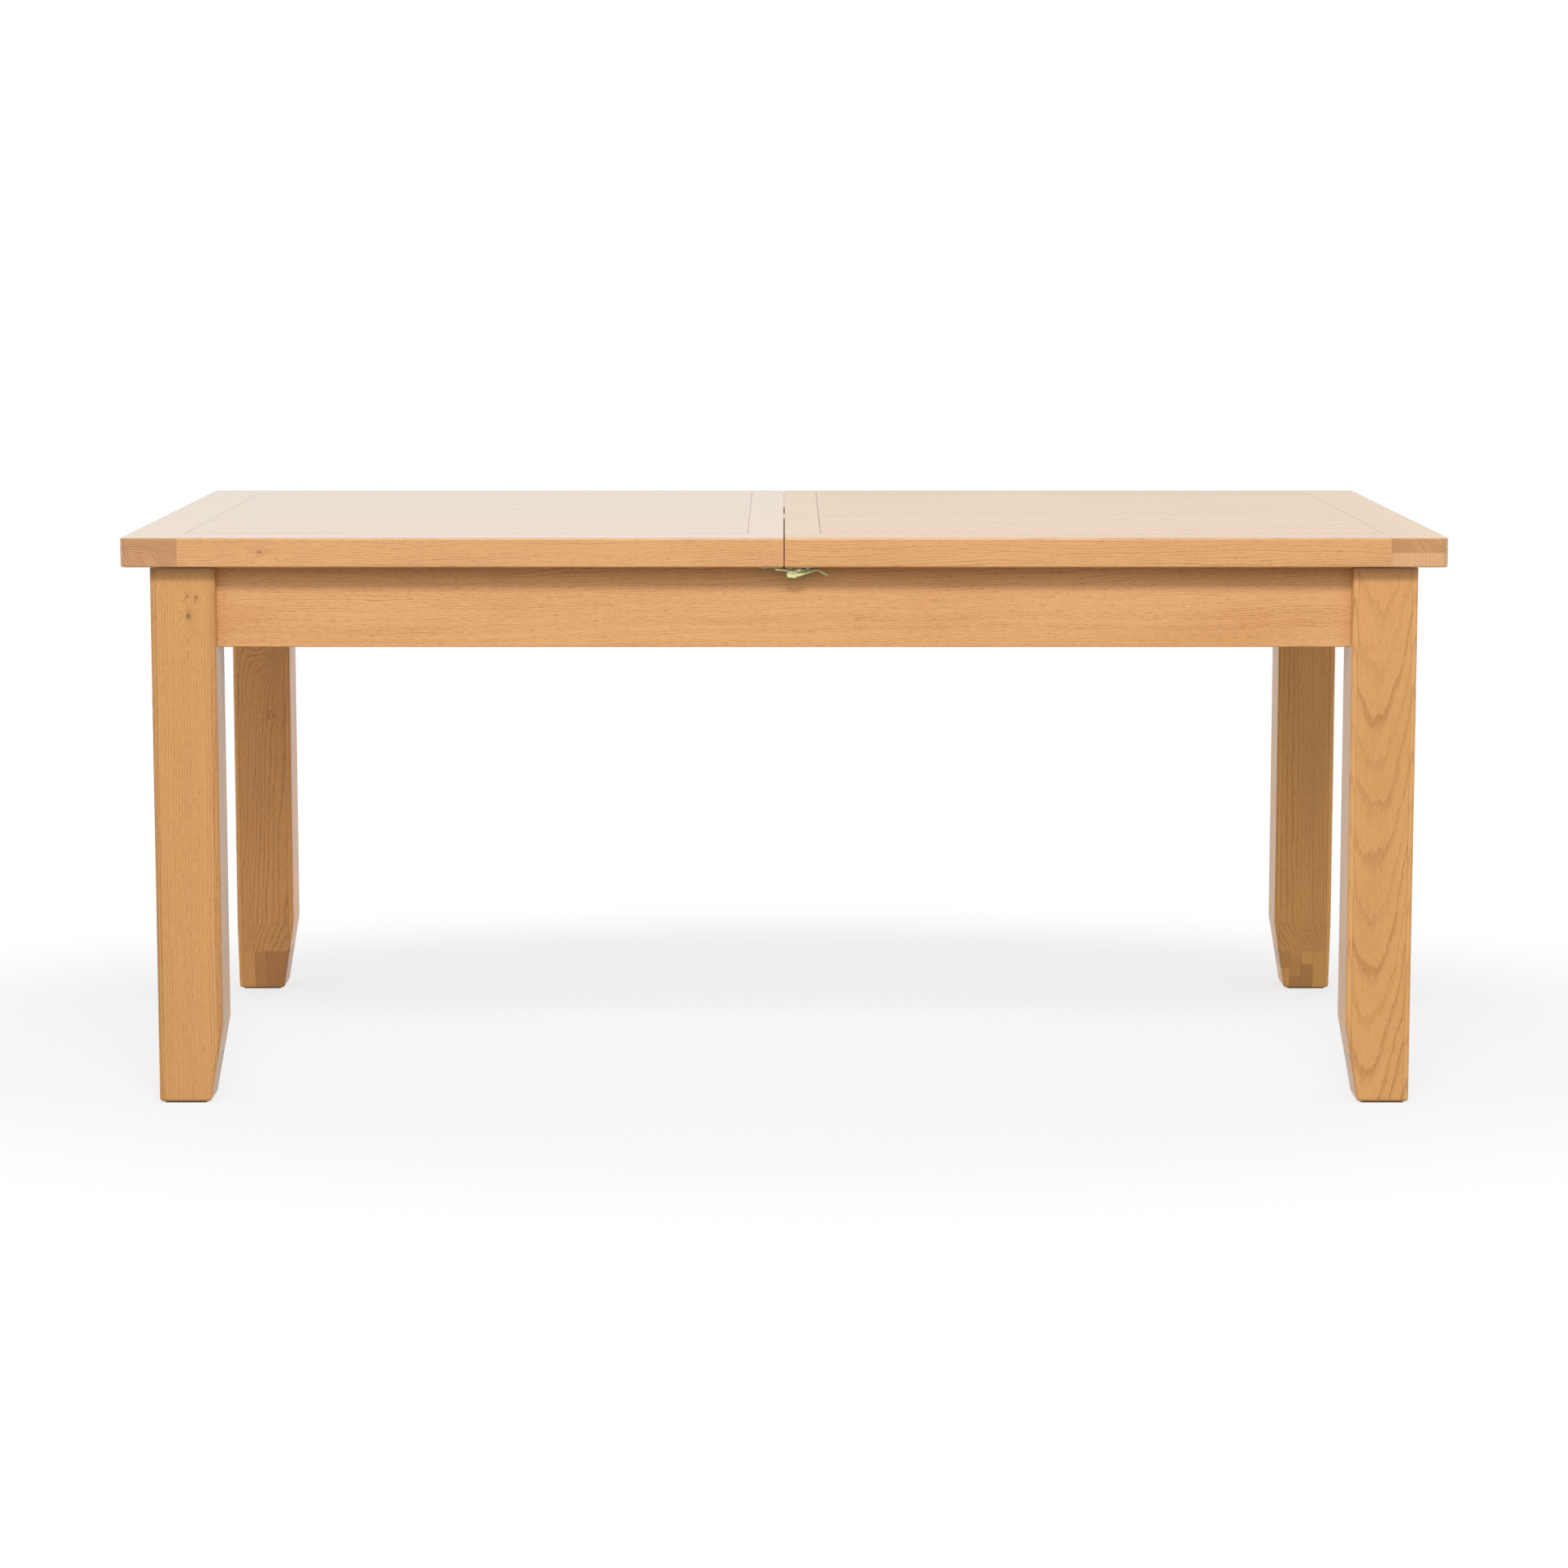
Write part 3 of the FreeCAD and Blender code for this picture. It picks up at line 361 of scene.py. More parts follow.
def oak(name, node, grain, pith, ring=0.0030, taper=0.0, light=HONEY, dark=HONEY_DARK, seed=1.0,
        contrast=1.0, knots=(), wander=0.006, layers=None, vee=None, cut=CUT_END, coat=0.15, gloss=0.3):
    """Lacquered oak cut from a log whose heart runs along the grain, pith metres from the plank's middle.

    The same rings show as fine lines on the faces and as arcs on the cut ends.
    """
    finish = Finish(name)
    low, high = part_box(node)
    along, across, deep = plank_axes(finish, grain, (low + high) / 2)
    knot_side = across if grain == "z" else deep
    swirl, heart, halo = knot_swirl(finish, along, knot_side, knots)
    tint_shift = 0.0
    if layers:
        strip, core, glue = lamination(finish, low, high, *layers)
        tint_shift = finish.speckle(strip + seed) - 0.5
        along = along + tint_shift * STRIP_ALONG
        across = across + tint_shift * STRIP_ACROSS
    axes = (along, across, deep)
    radius = ring_radius(finish, axes, pith, taper, wander, swirl, seed)
    rings = ring_darkness(finish, radius, ring, seed)
    dashes = finish.ramp(figure(finish, axes, DASHES, seed), *PORE_RANGE)
    fibres = figure(finish, axes, FIBRES, seed) - 0.5
    streaks = figure(finish, axes, STREAKS, seed, detail=3.0) - 0.5
    cloud = figure(finish, axes, CLOUDS, seed * 2.0, detail=3.0, roughness=0.5)
    clouds = cloud - 0.5
    cut_end = end_grain(finish, grain)

    shade = rings * (ON_FACE["rings"] + dashes * ON_FACE["ring_dashes"])
    shade = shade + dashes * ON_FACE["dashes"] + streaks * ON_FACE["streaks"]
    shade = (shade + fibres * ON_FACE["fibres"] + clouds * ON_FACE["clouds"]) * contrast
    shade = shade + halo * ON_FACE["halo"] + ON_FACE["ground"] + tint_shift * STRIP_TINT
    shade = finish.ramp(shade, 0.0, 1.0)
    ends = rings * ON_END["rings"] + dashes * ON_END["dashes"] + fibres * ON_END["fibres"]
    ends = finish.ramp(ends + clouds * ON_END["clouds"] + ON_END["ground"], 0.0, 1.0)

    rosiness = finish.ramp(cloud, *ROSY_RANGE, 0.0, ROSY_SHARE)
    colour = finish.blend(rosiness, finish.blend(shade, light, dark), finish.blend(shade, ROSY, dark))
    colour = finish.blend(cut_end, colour, finish.blend(ends, *cut))
    if knots:
        colour = finish.blend(heart * HEART_SHARE, colour, BARK_BROWN)
    if layers:
        core_colour = finish.blend(finish.ramp(tint_shift, -0.5, 0.5), dark, light)
        colour = finish.blend(core * CORE_SHARE, colour, core_colour)
        colour = finish.blend(glue * GLUE_SHARE, colour, GLUE_AND_GROOVE_SHADE)
    # Painted shade: the V-groove round the panel is darkened with the glue colour.
    if vee:
        colour = finish.blend(vee_line(finish, vee) * VEE_SHADE_SHARE, colour, GLUE_AND_GROOVE_SHADE)
    pores = dashes * (0.3 + rings * 0.7)
    return finish.surface(
        Base_Color=colour,
        Roughness=0.42 + pores * 0.12 + fibres * 0.08,
        IOR=1.48,
        Specular_IOR_Level=gloss,
        Coat_Weight=coat - shade * (coat * LINE_DULL),
        Coat_Roughness=0.18,
        Coat_IOR=1.5,
        Normal=finish.bump(1.0 - pores - fibres * 0.3, PORE_DEPTH, 0.5),
    )


def beech(name, node, grain, seed):
    """Plain sanded hardwood with the short brown flecks of beech, for the pieces under the top."""
    finish = Finish(name)
    low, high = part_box(node)
    axes = plank_axes(finish, grain, (low + high) / 2)
    flecks = finish.ramp(figure(finish, axes, FLECKS, seed, 1.0, 0.5), *FLECK_RANGE)
    bands = figure(finish, axes, BANDS, seed, 3.0, 0.55)
    fibres = figure(finish, axes, COARSE_FIBRES)
    shade = finish.ramp(bands * 0.8 + (fibres - 0.5) * 0.3, 0.15, 0.75)
    colour = finish.blend(flecks * 0.55, finish.blend(shade, BEECH, BEECH_DARK), BEECH_FLECK)
    return finish.surface(
        Base_Color=colour,
        Roughness=0.62 + (fibres - 0.5) * 0.12,
        Normal=finish.bump(fibres - flecks * 0.5, SAWN_DEPTH, 0.5),
    )


# ---------------------------------------------------------------- metal, felt, rubber and plastic

# How often plating's clouds, brush marks and film repeat in a metre.
PLATING_CLOUDS = 260.0
BRUSH_ALONG = 300.0
BRUSH_ACROSS = 6000.0
FILM_PATCHES = 90.0
BRUSH_DEPTH = 0.00002
RUSTY_FILM = (0.560, 0.400, 0.300)
FILM_SHARE = 0.55


def plated_steel(name, bright, tarnish, roughness, passivated):
    """Zinc-plated steel: fine brushing, cloudy plating, and a passivation film where it has one."""
    finish = Finish(name)
    x, y, z = finish.place()
    clouds = finish.vector(x * PLATING_CLOUDS, y * PLATING_CLOUDS, z * PLATING_CLOUDS)
    cloud = finish.noise(clouds, 3.0, 0.6)
    brushed = finish.noise(finish.vector(x * BRUSH_ALONG, y * BRUSH_ACROSS, z * BRUSH_ACROSS))
    colour = finish.blend(finish.ramp(cloud, 0.38, 0.66), bright, tarnish)
    if passivated:
        patches = finish.vector(x * FILM_PATCHES + 3.0, y * FILM_PATCHES, z * FILM_PATCHES)
        film = finish.ramp(finish.noise(patches), 0.50, 0.66, 0.0, FILM_SHARE)
        colour = finish.blend(film, colour, RUSTY_FILM)
    return finish.surface(
        Base_Color=colour,
        Metallic=0.85,
        Roughness=finish.ramp(cloud, 0.3, 0.7, roughness, roughness + 0.14) + (brushed - 0.5) * 0.1,
        Normal=finish.bump(brushed, BRUSH_DEPTH, 0.4),
    )


def soft_matt(name, light, dark, grain_size, roughness, relief, sheen):
    """Felt, rubber and moulded plastic: a matt surface with a fine mottle."""
    finish = Finish(name)
    x, y, z = finish.place()
    scale = 1.0 / grain_size
    mottle = finish.noise(finish.vector(x * scale, y * scale, z * scale), 4.0, 0.6)
    return finish.surface(
        Base_Color=finish.blend(finish.ramp(mottle, 0.3, 0.7), light, dark),
        Roughness=finish.ramp(mottle, 0.3, 0.7, roughness, min(roughness + 0.1, 1.0)),
        Sheen_Weight=sheen,
        Normal=finish.bump(mottle, relief, 0.6),
    )


# ---------------------------------------------------------------- finishes on the frame's pieces

def dress(node, material):
    obj = NODES[node]
    obj.data.materials.clear()
    obj.data.materials.append(material)


STRAW_PAIR = {"light": STRAW, "dark": STRAW_DARK}
GREY_PAIR = {"light": GREY_STRAW, "dark": GREY_STRAW_DARK}
TOP_CUTS = {
    "left_front_rail": dict(grain="x", pith=(0.13, 0.11), ring=0.0018, taper=0.004, seed=3.1,
                            wander=0.009, knots=[(-0.299, 0.001, 0.006, 0.8)]),
    "right_front_rail": dict(grain="x", pith=(0.12, -0.10), ring=0.0019, taper=0.005, seed=8.4,
                             wander=0.009),
    "left_back_rail": dict(grain="x", pith=(-0.12, 0.09), taper=0.006, seed=5.7),
    "right_back_rail": dict(grain="x", pith=(-0.10, -0.10), taper=0.004, seed=11.9),
    "left_end_plank_upper": dict(grain="y", pith=(-0.012, -0.060), ring=0.0029, taper=0.006,
                                 seed=14.2, contrast=0.5, **GREY_PAIR),
    "left_end_plank_lower": dict(grain="y", pith=(0.062, 0.034), ring=0.0030, taper=0.006,
                                 seed=17.3, contrast=1.2),
    "right_end_plank_upper": dict(grain="y", pith=(0.060, 0.050), ring=0.0029, taper=0.006,
                                  seed=21.8, contrast=0.6, **STRAW_PAIR),
    "right_end_plank_lower": dict(grain="y", pith=(0.300, 0.010), ring=0.0032, taper=0.004,
                                  seed=24.1, contrast=0.8, cut=PALE_CUT_END),
    "left_centre_plank": dict(grain="y", pith=(0.090, -0.080), taper=0.006, seed=27.6,
                              contrast=0.6, **GREY_PAIR),
    "right_centre_plank": dict(grain="y", pith=(-0.080, -0.090), taper=0.006, seed=31.2,
                               contrast=0.6, **STRAW_PAIR),
    "left_panel": dict(grain="x", pith=(0.080, -0.110), ring=0.0038, taper=0.010, seed=35.5,
                       wander=0.014, contrast=1.2, **GREY_PAIR),
    "right_panel": dict(grain="x", pith=(-0.140, -0.090), ring=0.0036, taper=0.008, seed=39.4,
                        wander=0.012, contrast=1.2, **STRAW_PAIR),
}

# Knots in the legs: how far along and across from the leg's middle, how big, and how dark.
FRONT_KNOTS = [
    (0.3045, 0.0075, 0.0075, 1.0),
    (0.3315, 0.0065, 0.0035, 1.0),
    (0.3295, 0.0185, 0.0040, 1.0),
]
BACK_KNOTS = [
    (0.1985, -0.0030, 0.0130, 0.1),
    (0.1600, 0.0120, 0.0080, 0.1),
    (0.0675, 0.0175, 0.0030, 0.9),
]

# A leg's layers are the number of blocks across its core and the length of each block.
WHOLE = 2.0
SHORT_BLOCK = 0.034
LEG_COAT = 0.30
LEG_CUTS = {
    "leg_front_left": dict(pith=(0.110, 0.020), ring=0.0033, taper=0.003, seed=43.0, contrast=1.2,
                           knots=FRONT_KNOTS, layers=(3, WHOLE), light=LEG_OAK, dark=LEG_DARK),
    "leg_front_right": dict(pith=(0.004, 0.075), ring=0.0042, taper=-0.060, seed=47.0, contrast=0.75,
                            layers=(3, WHOLE), light=PALE_LEG, dark=LEG_DARK),
    "leg_back_left": dict(pith=(0.070, 0.060), ring=0.0036, taper=0.016, seed=51.0, contrast=0.8,
                          wander=0.012, knots=BACK_KNOTS, layers=(4, WHOLE), light=TAWNY, dark=TAWNY_DARK),
    "leg_back_right": dict(pith=(-0.060, 0.100), ring=0.0030, taper=0.006, seed=55.0, contrast=0.7,
                           layers=(4, SHORT_BLOCK), light=OLIVE, dark=OLIVE_DARK),
}
APRON_COAT = 0.04
APRON_GLOSS = 0.1
APRON_CUTS = {
    "apron_front": dict(grain="x", pith=(0.110, 0.120), ring=0.0020, taper=0.012, seed=59.0, wander=0.013),
    "apron_back": dict(grain="x", pith=(-0.120, -0.100), ring=0.0034, taper=0.006, seed=63.0),
    "apron_left": dict(grain="y", pith=(0.120, 0.110), ring=0.0034, taper=0.006, seed=67.0),
    "apron_right": dict(grain="y", pith=(-0.110, -0.120), ring=0.0034, taper=0.006, seed=71.0),
}
LEAF_CUTS = {
    "leaf_lower_panel": dict(pith=(0.100, -0.080), ring=0.0042, taper=0.016, seed=75.0),
    "leaf_lower_lipping": dict(pith=(0.070, 0.030), ring=0.0038, taper=0.012, seed=83.0),
    "leaf_upper_panel": dict(pith=(0.100, -0.080), ring=0.0042, taper=0.016, seed=79.0),
    "leaf_upper_lipping": dict(pith=(0.070, 0.030), ring=0.0038, taper=0.012, seed=87.0),
}


def dress_oak():
    """Every oak piece keeps its mesh and gets its own cut of timber."""
    for node, cut in TOP_CUTS.items():
        side = node.split("_")[0]
        dress(node, oak(f"oak_{node}", node, coat=LACQUER[side], vee=f"{side}_panel", **cut))
    for node, cut in LEG_CUTS.items():
        dress(node, oak(f"oak_{node}", node, grain="z", coat=LEG_COAT, **cut))
    for node, cut in APRON_CUTS.items():
        dress(node, oak(f"oak_{node}", node, light=APRON_OAK, coat=APRON_COAT, gloss=APRON_GLOSS, **cut))
    for node, cut in LEAF_CUTS.items():
        dress(node, oak(f"oak_{node}", node, grain="x", **cut))


NEXT_PLANK = 3.7


def dress_underframe():
    """Beech pieces under the top, each with its sawn edges broken."""
    lengthways = ["bearer_front", "bearer_back", "leaf_rests", "alignment_dowels"]
    lengthways += [f"{side}_slide_{end}" for side in SIDES for end in ENDS]
    crossways = ["cross_rail_left", "cross_rail_right"]
    crossways += [f"{side}_batten_{place}" for side in SIDES for place in ("inner", "outer")]
    upright = [f"corner_block_{end}_{side}" for side in SIDES for end in ENDS]
    for grain, nodes in (("x", lengthways), ("y", crossways), ("z", upright)):
        for number, node in enumerate(nodes):
            wood = beech(f"beech_{node}", node, grain, 1.0 + NEXT_PLANK * number)
            eased_copy(node, TIMBER_EDGE, wood)


def dress_fittings():
    """Bolts, hinges, screws and the two draw latches."""
    zinc = plated_steel("bright_zinc", (0.60, 0.61, 0.62), (0.42, 0.43, 0.45), 0.30, False)
    for node in ("hanger_bolts", "flange_nuts", "leaf_arm_pins"):
        dress(node, zinc)
    for node in ("leaf_hinges", "leaf_swing_arms"):
        eased_copy(node, METAL_EDGE, zinc)
    # Painted shade: the screws' zinc is coloured darker than the bright zinc to stand in for the shade
    # under the top. Its greater roughness is the plating's own.
    shaded_screw_zinc = plated_steel("screw_zinc_painted_shade", (0.40, 0.39, 0.36), (0.28, 0.27, 0.25), 0.45, False)
    screws = screw_tree(shaded_screw_zinc)
    for node in ("corner_screws", "left_screws", "right_screws"):
        driven_screws(node, screws)
    yellow = plated_steel("yellow_zinc", (0.700, 0.720, 0.380), (0.560, 0.590, 0.260), 0.38, True)
    dress("latch_pins", yellow)
    for end in ENDS:
        eased_copy(f"{end}_lever", METAL_EDGE, yellow)
        latch_wire(f"{end}_bail", yellow)
    # Painted shadow: the keepers and bases are coloured dark to stand in for the shadow under the top. The
    # film patches are the plating's own.
    shadowed_plate_zinc = plated_steel("zinc_painted_shadow", (0.330, 0.300, 0.140), (0.230, 0.210, 0.095), 0.42, True)
    for node in ("latch_keepers", "latch_bases"):
        eased_copy(node, METAL_EDGE, shadowed_plate_zinc)


def dress_soft_parts():
    """Felt strips, rubber bumpers and the pads under the legs."""
    felt = soft_matt("brown_felt", light=(0.130, 0.085, 0.055), dark=(0.060, 0.038, 0.024),
                     grain_size=0.0006, roughness=0.9, relief=0.0004, sheen=0.4)
    soft_blocks("leaf_felt_strips", FELT_EDGE, felt)
    rubber = soft_matt("black_rubber", light=(0.030, 0.030, 0.030), dark=(0.014, 0.014, 0.014),
                       grain_size=0.0008, roughness=0.7, relief=0.0001, sheen=0.0)
    soft_blocks("slide_bumpers", RUBBER_EDGE, rubber)
    pad = soft_matt("dark_foot_pad", light=(0.045, 0.032, 0.025), dark=(0.020, 0.014, 0.011),
                    grain_size=0.0009, roughness=0.75, relief=0.0002, sheen=0.1)
    dress("foot_pads", pad)


# ---------------------------------------------------------------- pieces made here

MERGE = 1e-6
HEAD_RADIUS = 0.004
HEAD_HEIGHT = 0.0022
SHANK_RADIUS = 0.002
LATCH_HEAD_RADIUS = 0.0024
LATCH_HEAD_HEIGHT = 0.0012
LATCH_SHANK_RADIUS = 0.0013
WIRE_RADIUS = 0.0014
WIRE_BEND = 0.0026
IN_TURN = 0.0033
SHARP = math.radians(40.0)
FLAT = math.radians(0.5)
METAL_EDGE = 0.00025
TIMBER_EDGE = 0.0010
FELT_EDGE = 0.0008
RUBBER_EDGE = 0.0015
EASED_STEPS = 2
SOFT_STEPS = 4
QUARTER_HANDLE = 0.5523
WIRE_ROUNDNESS = 5
BEND_STEPS = 8
HEAD_SIDES = 32
SHANK_SIDES = 16
RECESS_LONG = 1.25
RECESS_WIDE = 0.24
RECESS_DEEP = 1.3
TURN_SEED = 11


def solids_of(node):
    """The points of each separate solid in a node."""
    shape = bmesh.new()
    shape.from_mesh(NODES[node].data)
    bmesh.ops.remove_doubles(shape, verts=shape.verts, dist=MERGE)
    unseen = set(shape.verts)
    solids = []
    while unseen:
        front = [unseen.pop()]
        points = []
        while front:
            corner = front.pop()
            points.append(corner.co.copy())
            for edge in corner.link_edges:
                other = edge.other_vert(corner)
                if other in unseen:
                    unseen.remove(other)
                    front.append(other)
        solids.append(points)
    shape.free()
    return sorted(solids, key=lambda points: tuple(sum(points, Vector())))


def corners_of(points):
    low = Vector([min(point[i] for point in points) for i in range(3)])
    high = Vector([max(point[i] for point in points) for i in range(3)])
    return low, high


def screw_places(node):
    """Where each screw's head is, which way it faces, the screw's length and its head's radius."""
    places = []
    for points in solids_of(node):
        low, high = corners_of(points)
        size = high - low
        axis = max(range(3), key=lambda i: size[i])
        middle = (low + high) / 2

        def spread(end):
            rim = [point - middle for point in points if abs(point[axis] - end[axis]) < MERGE * 10]
            return max(math.sqrt(far.length_squared - far[axis] ** 2) for far in rim)

        turn = 1 if spread(high) > spread(low) else -1
        head = middle.copy()
        head[axis] = high[axis] if turn > 0 else low[axis]
        outward = Vector([turn if i == axis else 0 for i in range(3)])
        places.append((head, outward, size[axis], max(spread(high), spread(low))))
    return places


def screw_tree(finish):
    """Cross-recessed screws on a set of points, each turned its own way in its hole."""
    tree = bpy.data.node_groups.new("driven_screws", "GeometryNodeTree")
    tree.interface.new_socket("Places", in_out="INPUT", socket_type="NodeSocketGeometry")
    for name in ("Head radius", "Under head", "Head height", "Shank radius"):
        tree.interface.new_socket(name, in_out="INPUT", socket_type="NodeSocketFloat")
    tree.interface.new_socket("Screws", in_out="OUTPUT", socket_type="NodeSocketGeometry")
    web = Wiring(tree)
    places, head_radius, under_head, head_height, shank_radius = [
        web.add("NodeGroupInput", output=i) for i in range(5)]
    cone = web.add("GeometryNodeMeshCone", None, {
        "Vertices": HEAD_SIDES, "Radius Top": head_radius,
        "Radius Bottom": under_head, "Depth": head_height})
    drop = web.add("ShaderNodeCombineXYZ", None, {"Z": head_height * -1.0})
    cone = web.add("GeometryNodeTransform", None, {"Geometry": cone, "Translation": drop})
    bars = []
    for long_x, long_y in ((RECESS_LONG, RECESS_WIDE), (RECESS_WIDE, RECESS_LONG)):
        size = {"X": head_radius * long_x, "Y": head_radius * long_y, "Z": head_height * RECESS_DEEP}
        size = web.add("ShaderNodeCombineXYZ", None, size)
        bars.append(web.add("GeometryNodeMeshCube", None, {"Size": size}))
    recess = web.add("GeometryNodeMeshBoolean", {"operation": "UNION", "solver": "EXACT"}, {"Mesh 2": bars})
    settings = {"operation": "DIFFERENCE", "solver": "EXACT"}
    head = web.add("GeometryNodeMeshBoolean", settings, {"Mesh 1": cone, "Mesh 2": recess})
    shank = web.add("GeometryNodeMeshCylinder", None, {
        "Vertices": SHANK_SIDES, "Radius": shank_radius, "Depth": 1.0})
    shank = web.add("GeometryNodeTransform", None, {"Geometry": shank, "Translation": (0.0, 0.0, -0.5)})
    outward = web.add("GeometryNodeInputNamedAttribute", {"data_type": "FLOAT_VECTOR"}, {"Name": "outward"})
    length = web.add("GeometryNodeInputNamedAttribute", {"data_type": "FLOAT"}, {"Name": "length"})
    facing = web.add("FunctionNodeAlignRotationToVector", {"axis": "Z"}, {"Vector": outward})
    turn = web.add("FunctionNodeRandomValue", {"data_type": "FLOAT"}, {2: 0.0, 3: math.pi, 8: TURN_SEED}, 1)
    spin = web.add("FunctionNodeAxisAngleToRotation", None, {"Axis": (0.0, 0.0, 1.0), "Angle": turn})
    settings = {"rotation_space": "LOCAL"}
    facing = web.add("FunctionNodeRotateRotation", settings, {"Rotation": facing, "Rotate By": spin})
    stretch = web.add("ShaderNodeCombineXYZ", None, {"X": 1.0, "Y": 1.0, "Z": length})
    heads = web.add("GeometryNodeInstanceOnPoints", None, {
        "Points": places, "Instance": head, "Rotation": facing})
    shanks = web.add("GeometryNodeInstanceOnPoints", None, {
        "Points": places, "Instance": shank, "Rotation": facing, "Scale": stretch})
    joined = web.add("GeometryNodeJoinGeometry", None, {"Geometry": [heads, shanks]})
    solid = web.add("GeometryNodeRealizeInstances", None, {"Geometry": joined})
    done = web.add("GeometryNodeSetMaterial", None, {"Geometry": solid, "Material": finish})
    web.add("NodeGroupOutput", None, {0: done})
    return tree


def mesh_object(name, mesh):
    piece = bpy.data.objects.new(name, mesh)
    bpy.context.scene.collection.objects.link(piece)
    return piece


def settled(piece):
    """The piece as a plain mesh, with its modifiers or its curve worked out."""
    evaluated = piece.evaluated_get(bpy.context.evaluated_depsgraph_get())
    mesh = bpy.data.meshes.new_from_object(evaluated)
    bpy.data.objects.remove(piece)
    return mesh


def screw_mesh(tree, places, sizes):
    """The screws of one size, as a plain mesh. Each place gives its way outwards and its length."""
    mesh = bpy.data.meshes.new("screw_places")
    mesh.from_pydata([head for head, outward, length, radius in places], [], [])
    for name, kind in (("outward", "FLOAT_VECTOR"), ("length", "FLOAT")):
        mesh.attributes.new(name, kind, "POINT")
    for number, (head, outward, length, radius) in enumerate(places):
        mesh.attributes["outward"].data[number].vector = outward
        mesh.attributes["length"].data[number].value = length
    holder = mesh_object("screw_holder", mesh)
    modifier = holder.modifiers.new("screws", "NODES")
    modifier.node_group = tree
    for item in tree.interface.items_tree:
        if item.name in sizes:
            modifier[item.identifier] = sizes[item.name]
    return settled(holder)


def driven_screws(node, tree):
    """Replaces a node of plain screws with cross-recessed ones in the same holes."""
    wood = {"Head radius": HEAD_RADIUS, "Under head": SHANK_RADIUS, "Head height": HEAD_HEIGHT,
            "Shank radius": SHANK_RADIUS}
    latch = {"Head radius": LATCH_HEAD_RADIUS, "Under head": LATCH_HEAD_RADIUS,
             "Head height": LATCH_HEAD_HEIGHT, "Shank radius": LATCH_SHANK_RADIUS}
    places = screw_places(node)
    between = (HEAD_RADIUS + LATCH_HEAD_RADIUS) / 2
    kinds = [([p for p in places if p[3] > between], wood), ([p for p in places if p[3] <= between], latch)]
    shape = bmesh.new()
    for group, sizes in kinds:
        if group:
            shape.from_mesh(screw_mesh(tree, group, sizes))
    mesh = bpy.data.meshes.new(f"{node}_recessed")
    shape.to_mesh(mesh)
    shape.free()
    mesh.materials.append(tree.nodes["Set Material"].inputs["Material"].default_value)
    stand_in(mesh_object(f"{node}_recessed", mesh), node)


def stand_in(piece, node):
    """The piece moves with the node's body and is shown in the node's place."""
    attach(piece, NODES[node]["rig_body"])
    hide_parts(node)


def bent_wire(name, corners, bend, finish):
    """A round wire through corners, each rounded to a quarter-like bend."""
    data = bpy.data.curves.new(name, "CURVE")
    data.dimensions = "3D"
    data.bevel_depth = WIRE_RADIUS
    data.bevel_resolution = WIRE_ROUNDNESS
    data.resolution_u = BEND_STEPS
    data.use_fill_caps = True
    knots = [(corners[0], Vector(), Vector())]
    for before, corner, after in zip(corners, corners[1:], corners[2:]):
        back = (before - corner).normalized() * bend
        on = (after - corner).normalized() * bend
        knots.append((corner + back, Vector(), -back * QUARTER_HANDLE))
        knots.append((corner + on, -on * QUARTER_HANDLE, Vector()))
    knots.append((corners[-1], Vector(), Vector()))
    spline = data.splines.new("BEZIER")
    spline.bezier_points.add(len(knots) - 1)
    for knot, (place, into, out) in zip(spline.bezier_points, knots):
        knot.handle_left_type = "FREE"
        knot.handle_right_type = "FREE"
        knot.co = place
        knot.handle_left = place + into
        knot.handle_right = place + out
    mesh = settled(mesh_object(name, data))
    mesh.materials.clear()
    mesh.materials.append(finish)
    mesh.polygons.foreach_set("use_smooth", [True] * len(mesh.polygons))
    return mesh_object(name, mesh)


def latch_wire(node, finish):
    """The bail: two legs with in-turned ends, and a bar with rounded corners behind the hook."""
    low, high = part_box(node)
    inset = Vector((WIRE_RADIUS, WIRE_RADIUS, WIRE_RADIUS))
    low, high = low + inset, high - inset
    middle_y = (low.y + high.y) / 2
    end_y = (high.y - low.y) / 2 - IN_TURN
    route = [
        Vector((high.x, middle_y - end_y, low.z)),
        Vector((high.x, low.y, low.z)),
        Vector((low.x, low.y, high.z)),
        Vector((low.x, high.y, high.z)),
        Vector((high.x, high.y, low.z)),
        Vector((high.x, middle_y + end_y, low.z)),
    ]
    stand_in(bent_wire(f"{node}_wire", route, WIRE_BEND, finish), node)


def eased_copy(node, width, finish):
    """A copy of a node whose sharp edges are broken, as a file or sandpaper leaves them."""
    shape = bmesh.new()
    shape.from_mesh(NODES[node].data)
    bmesh.ops.remove_doubles(shape, verts=shape.verts, dist=MERGE)
    bmesh.ops.dissolve_limit(shape, angle_limit=FLAT, verts=shape.verts, edges=shape.edges)
    sharp = [edge for edge in shape.edges if edge.is_manifold and edge.calc_face_angle() > SHARP]
    bmesh.ops.bevel(shape, geom=sharp, offset=width, segments=EASED_STEPS,
                    affect="EDGES", clamp_overlap=True)
    mesh = bpy.data.meshes.new(f"{node}_eased")
    shape.to_mesh(mesh)
    shape.free()
    mesh.materials.append(finish)
    stand_in(mesh_object(f"{node}_eased", mesh), node)


